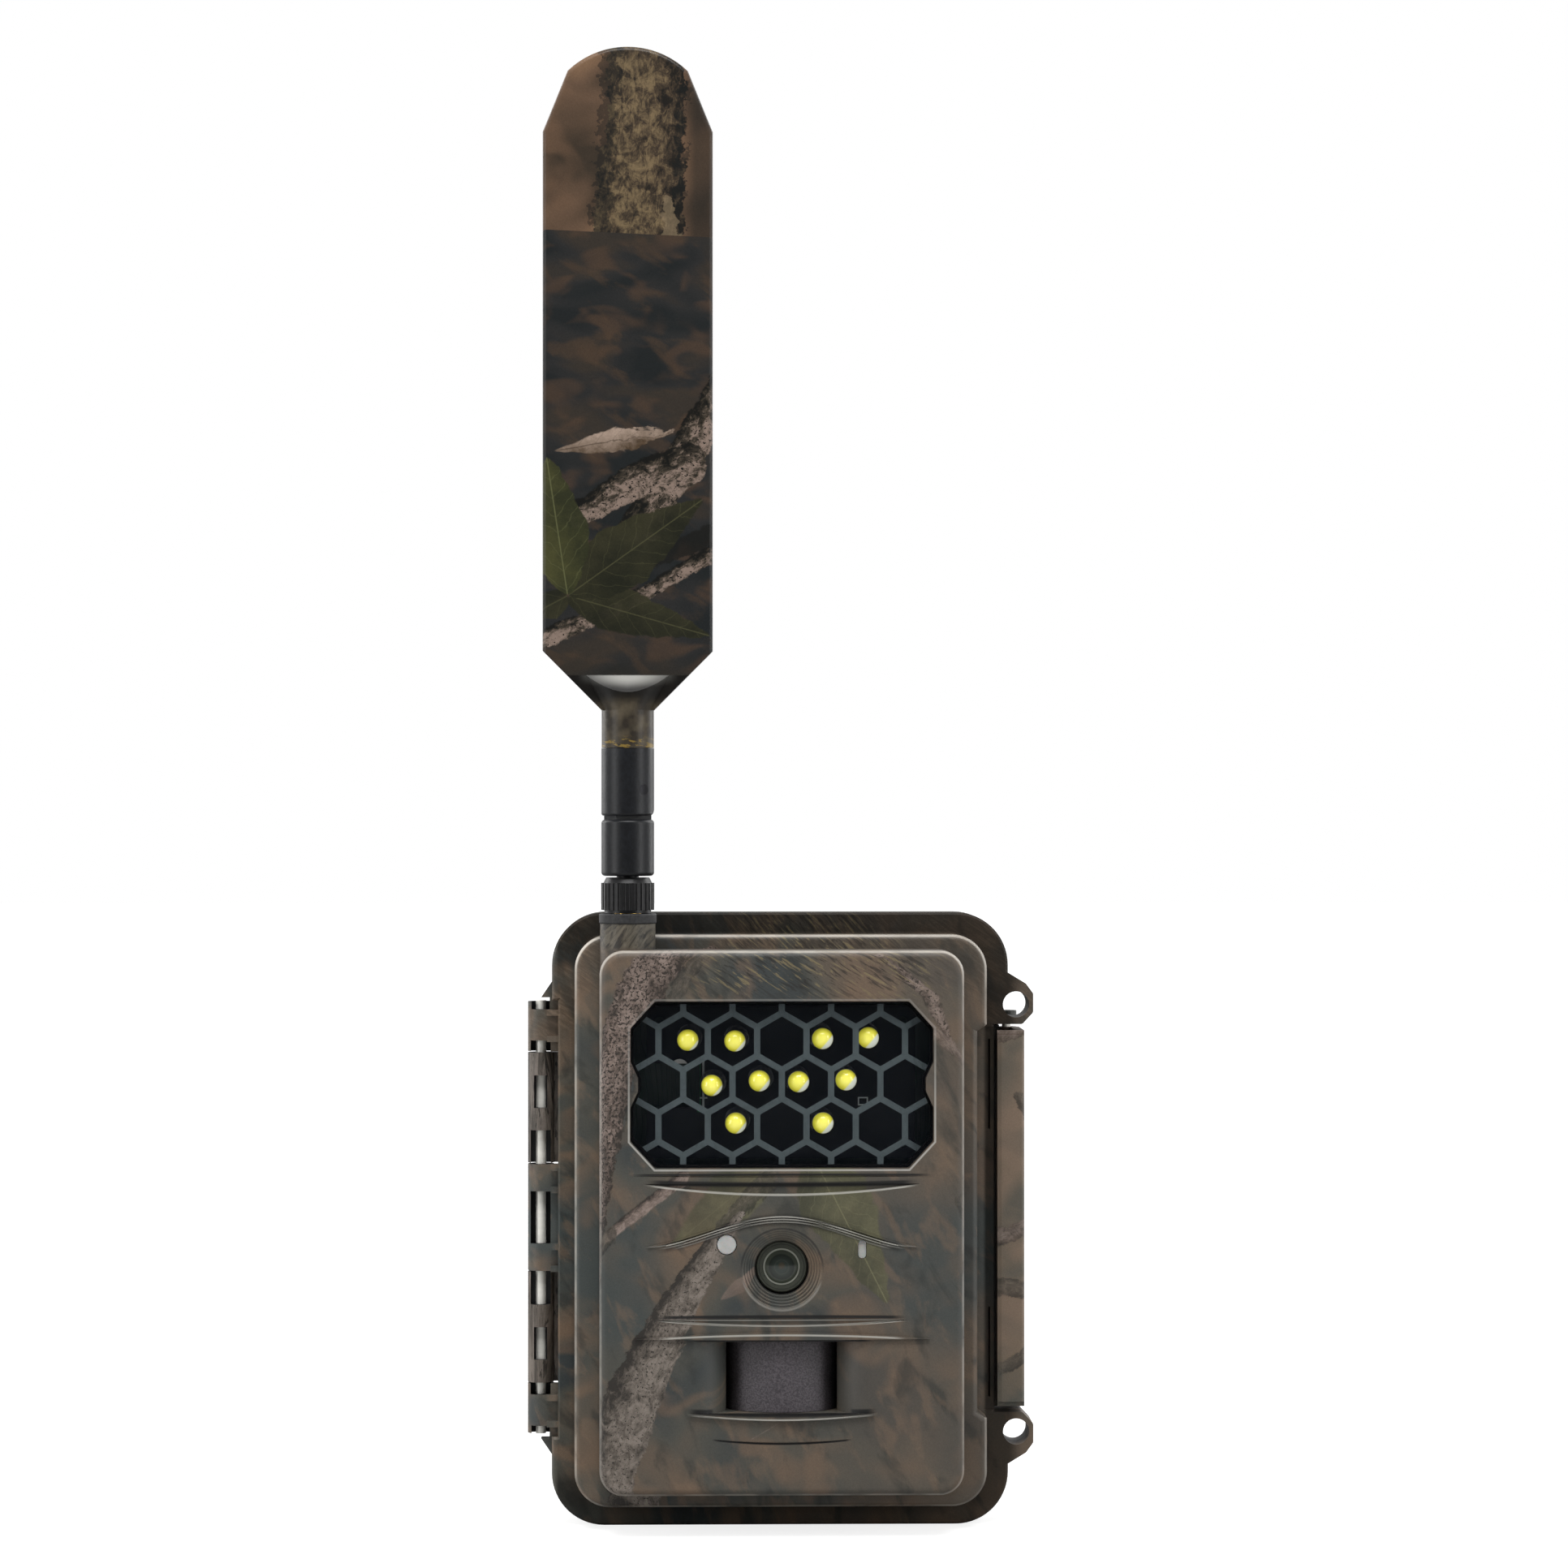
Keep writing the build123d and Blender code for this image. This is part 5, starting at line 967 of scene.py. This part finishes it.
PAINTS = {
    "camo_front": (front_case_paint, ["front_shell"]),
    "camo_rear": (rear_case_paint, ["rear_shell"]),
    "camo_latch": (latch_paint, ["latch_lever"]),
    "camo_antenna": (antenna_paint, ["antenna_blade"]),
    "sleeve_black": (moulded(srgb(11, 12, 15), srgb(20, 22, 26), 0.42, 1.4, 0.03, 0.28),
                     ["antenna_base", "antenna_knuckle"]),
    "nut_black": (moulded(srgb(12, 12, 13), srgb(24, 24, 25), 0.42, 1.0, 0.02, 0.3), ["antenna_nut"]),
    "rubber_ring": (moulded(srgb(32, 32, 33), srgb(48, 48, 49), 0.6, 1.2, 0.04, 0.3), ["antenna_seal"]),
    "gasket_rubber": (moulded(srgb(20, 20, 21), srgb(30, 30, 31), 0.75, 1.2, 0.03, 0.25),
                      ["case_gasket", "dc_port_cover"]),
    "tray_black": (moulded(srgb(20, 21, 22), srgb(34, 35, 37), 0.55, 1.1, 0.06), ["battery_tray"]),
    "panel_black": (moulded(srgb(30, 31, 33), srgb(44, 45, 48), 0.55, 1.5, 0.06), ["control_panel"]),
    "parts_black": (moulded(srgb(14, 14, 15), srgb(26, 26, 28), 0.5, 1.3, 0.04),
                    ["lens_holder", "power_switch_body", "tact_switches", "light_sensor", "image_sensor",
                     "dc_jack"]),
    "cable_sheath": (moulded(srgb(18, 18, 19), srgb(30, 30, 31), 0.6, 0.8, 0.04),
                     ["rf_cable", "power_cable"]),
    "knob_white": (moulded(srgb(196, 196, 190), srgb(216, 216, 210), 0.4, 1.0, 0.02),
                   ["power_switch_knob"]),
    "card_blue": (moulded(srgb(20, 30, 58), srgb(30, 44, 80), 0.35, 0.8, 0.02), ["sd_card"]),
    "card_white": (moulded(srgb(206, 206, 202), srgb(226, 226, 222), 0.35, 0.8, 0.02), ["sim_card"]),
    "status_epoxy": (moulded(srgb(190, 184, 160), srgb(214, 208, 186), 0.2, 0.8, 0.01), ["status_led"]),
    "pin_steel": (metal(srgb(240, 238, 230), 0.5, (0.2, 0.2, 0.6), 0.0, 0.2), ["hinge_pin", "latch_pin"]),
    "pin_black": (metal(srgb(40, 40, 42), 0.4), ["antenna_pivot_pin"]),
    "zinc": (metal(srgb(190, 188, 182), 0.34), ["tray_screws", "board_screws", "panel_screws"]),
    "sheet_steel": (metal(srgb(200, 200, 196), 0.3, (3.0, 0.4, 0.4)),
                    ["sd_card_slot", "sim_card_slot", "usb_port", "pir_sensor"]),
    "nickel": (metal(srgb(214, 210, 198), 0.22), ["battery_contacts"]),
    "gold": (metal(srgb(222, 184, 108), 0.26), ["antenna_connector", "connector_locknut"]),
    "brass": (metal(srgb(206, 170, 104), 0.3, (0.4, 0.4, 5.0)), ["tripod_insert"]),
    "copper": (metal(srgb(200, 120, 84), 0.35), ["antenna_radiator"]),
    "pane": (pane_paint, ["led_window"]),
    "honeycomb_ink": (mask_paint, ["honeycomb_mask"]),
    "flash_board": (flash_board_paint, ["led_board"]),
    "led_epoxy": (led_paint, ["flash_leds"]),
    "lens_barrel_grey": (barrel_paint, ["lens_barrel"]),
    "lens_coating": (front_glass_paint, ["lens_front_element"]),
    "curtain": (curtain_paint, ["pir_lens"]),
    "milky": (pale_lens_paint, ["light_sensor_window", "status_light_pipe"]),
    "cell_wrap": (cell_paint, ["aa_cells"]),
    "circuit_green": (board_paint, ["main_board"]),
    "display": (display_paint, ["lcd_module"]),
    "display_cover": (clear_paint(srgb(20, 22, 24), 0.25), ["lcd_window"]),
    "filter_blue": (clear_paint(srgb(90, 190, 200), 0.5), ["ir_cut_filter"]),
    "keys": (key_paint,
             ["up_button", "down_button", "left_button", "right_button", "ok_button", "menu_button"]),
}


def paint_nodes():
    for name, (paint, nodes) in PAINTS.items():
        made = material(name, paint)
        for node in nodes:
            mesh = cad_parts[node].data
            mesh.materials.clear()
            mesh.materials.append(made)


# ---------------- pieces that bend or are too fine for the CAD model
def tube(name, points, radius, sides=16):
    """A smooth mesh tube through points, in metres."""
    curve = bpy.data.curves.new(name, "CURVE")
    curve.dimensions = "3D"
    curve.bevel_depth = radius
    curve.bevel_resolution = sides // 4
    curve.resolution_u = 12
    curve.use_fill_caps = True
    spline = curve.splines.new("BEZIER")
    spline.bezier_points.add(len(points) - 1)
    for knot, point in zip(spline.bezier_points, points):
        knot.co = point
        knot.handle_left_type = knot.handle_right_type = "AUTO"
    carrier = bpy.data.objects.new(name, curve)
    bpy.context.scene.collection.objects.link(carrier)
    bpy.context.view_layer.update()
    mesh = bpy.data.meshes.new_from_object(carrier)
    bpy.data.objects.remove(carrier)
    made = bpy.data.objects.new(name, mesh)
    bpy.context.scene.collection.objects.link(made)
    for face in mesh.polygons:
        face.use_smooth = True
    return made


# the leads' path across the hinge, in millimetres, and the two cores: shift in height, dark and light tone
LEAD_PATH = ((-42.0, 4.0, 13.6), (-42.6, 0.0, 9.6), (-42.9, -8.0, 8.6),
             (-41.8, -16.0, 9.8), (-38.6, -22.4, 12.4), (-35.4, -23.8, 15.6))
LEAD_RADIUS = 0.42
LEADS = {
    "lead_black": (-LEAD_RADIUS, srgb(16, 16, 17), srgb(28, 28, 29)),
    "lead_red": (LEAD_RADIUS, srgb(120, 16, 14), srgb(150, 26, 20)),
}


def power_lead():
    """Two insulated cores across the hinge, in place of the CAD power cable."""
    for name, (shift, dark, light) in LEADS.items():
        path = [(x * MM, y * MM, (z + shift) * MM) for x, y, z in LEAD_PATH]
        core = tube(name, path, LEAD_RADIUS * MM)
        core.data.materials.append(material(name, moulded(dark, light, 0.45, 0.8, 0.02)))
        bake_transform(core)
        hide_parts("power_cable")


# ---------------- room, light and camera
def floor():
    """White table: it catches a soft shadow, and runs into the white surround."""
    bpy.ops.mesh.primitive_plane_add(size=12.0, location=(0.0, 0.0, 0.0))
    made = bpy.context.object
    made.name = "floor"

    def paint(g):
        x, y, _, where = g.place()
        far = g.rise(g.length(x, y + 20.0), 60.0, 700.0)
        speck = g.noise(where, 0.004, 2.0)
        return {
            "Base Color": g.mix(speck, srgb(158, 158, 157), srgb(164, 164, 163)),
            "Roughness": 0.9,
            "Specular IOR Level": 0.0,
            "Emission Color": (1.0, 1.0, 1.0),
            "Emission Strength": g.seen() * (0.8 + far * 0.2),
        }
    made.data.materials.append(material("floor_white", paint))


CASE_MIDDLE = (0.0, 0.0, 0.12)
LAMPS = {                       # place, what it points at, width and height in metres, power in watts
    "top": ((0.0, -0.55, 1.15), (0.0, -0.02, 0.12), (0.8, 0.4), 14.0),
    "left": ((-1.0, -0.6, 0.35), CASE_MIDDLE, (0.3, 0.8), 6.0),
    "right": ((1.0, -0.6, 0.35), CASE_MIDDLE, (0.3, 0.8), 6.0),
    "back_left": ((-0.7, 0.5, 0.5), CASE_MIDDLE, (0.3, 0.9), 4.0),
    "back_right": ((0.7, 0.5, 0.5), CASE_MIDDLE, (0.3, 0.9), 4.0),
}


def soft_light(name, place, aim, size, power):
    light = bpy.data.lights.new(name, "AREA")
    light.shape = "RECTANGLE"
    light.size, light.size_y = size
    light.energy = power
    lamp = bpy.data.objects.new(name, light)
    lamp.location = place
    lamp.rotation_euler = (Vector(aim) - Vector(place)).to_track_quat("-Z", "Y").to_euler()
    bpy.context.scene.collection.objects.link(lamp)


def room():
    """White surround to the camera; as a light it is bright behind and beside the object, dim in front."""
    world = bpy.data.worlds.new("studio")
    bpy.context.scene.world = world
    world.use_nodes = True
    g = Graph(world.node_tree)
    background = world.node_tree.nodes["Background"]
    depth = g.parts(g.coordinate("Generated"))[1]
    behind = g.rise(depth, -0.5, 0.4, DIM_FRONT, 0.9)
    g.put(background.inputs["Color"], (1.0, 1.0, 1.0))
    g.put(background.inputs["Strength"], g.most(behind, g.seen()))


def camera():
    lens = bpy.data.cameras.new("camera")
    lens.lens, lens.sensor_width = 96.4, 36.0
    lens.clip_start, lens.clip_end = 0.05, 50.0
    eye = bpy.data.objects.new("camera", lens)
    eye.location = (-0.0197, -0.983, 0.1647)
    aim = Vector((0.0017, 0.0168, 0.1696))
    eye.rotation_euler = (aim - eye.location).to_track_quat("-Z", "Y").to_euler()
    bpy.context.scene.collection.objects.link(eye)
    bpy.context.scene.camera = eye


paint_nodes()
power_lead()
floor()
room()
for name, (place, aim, lamp_size, power) in LAMPS.items():
    soft_light(name, place, aim, lamp_size, power)
camera()
bpy.context.scene.view_settings.view_transform = "Standard"
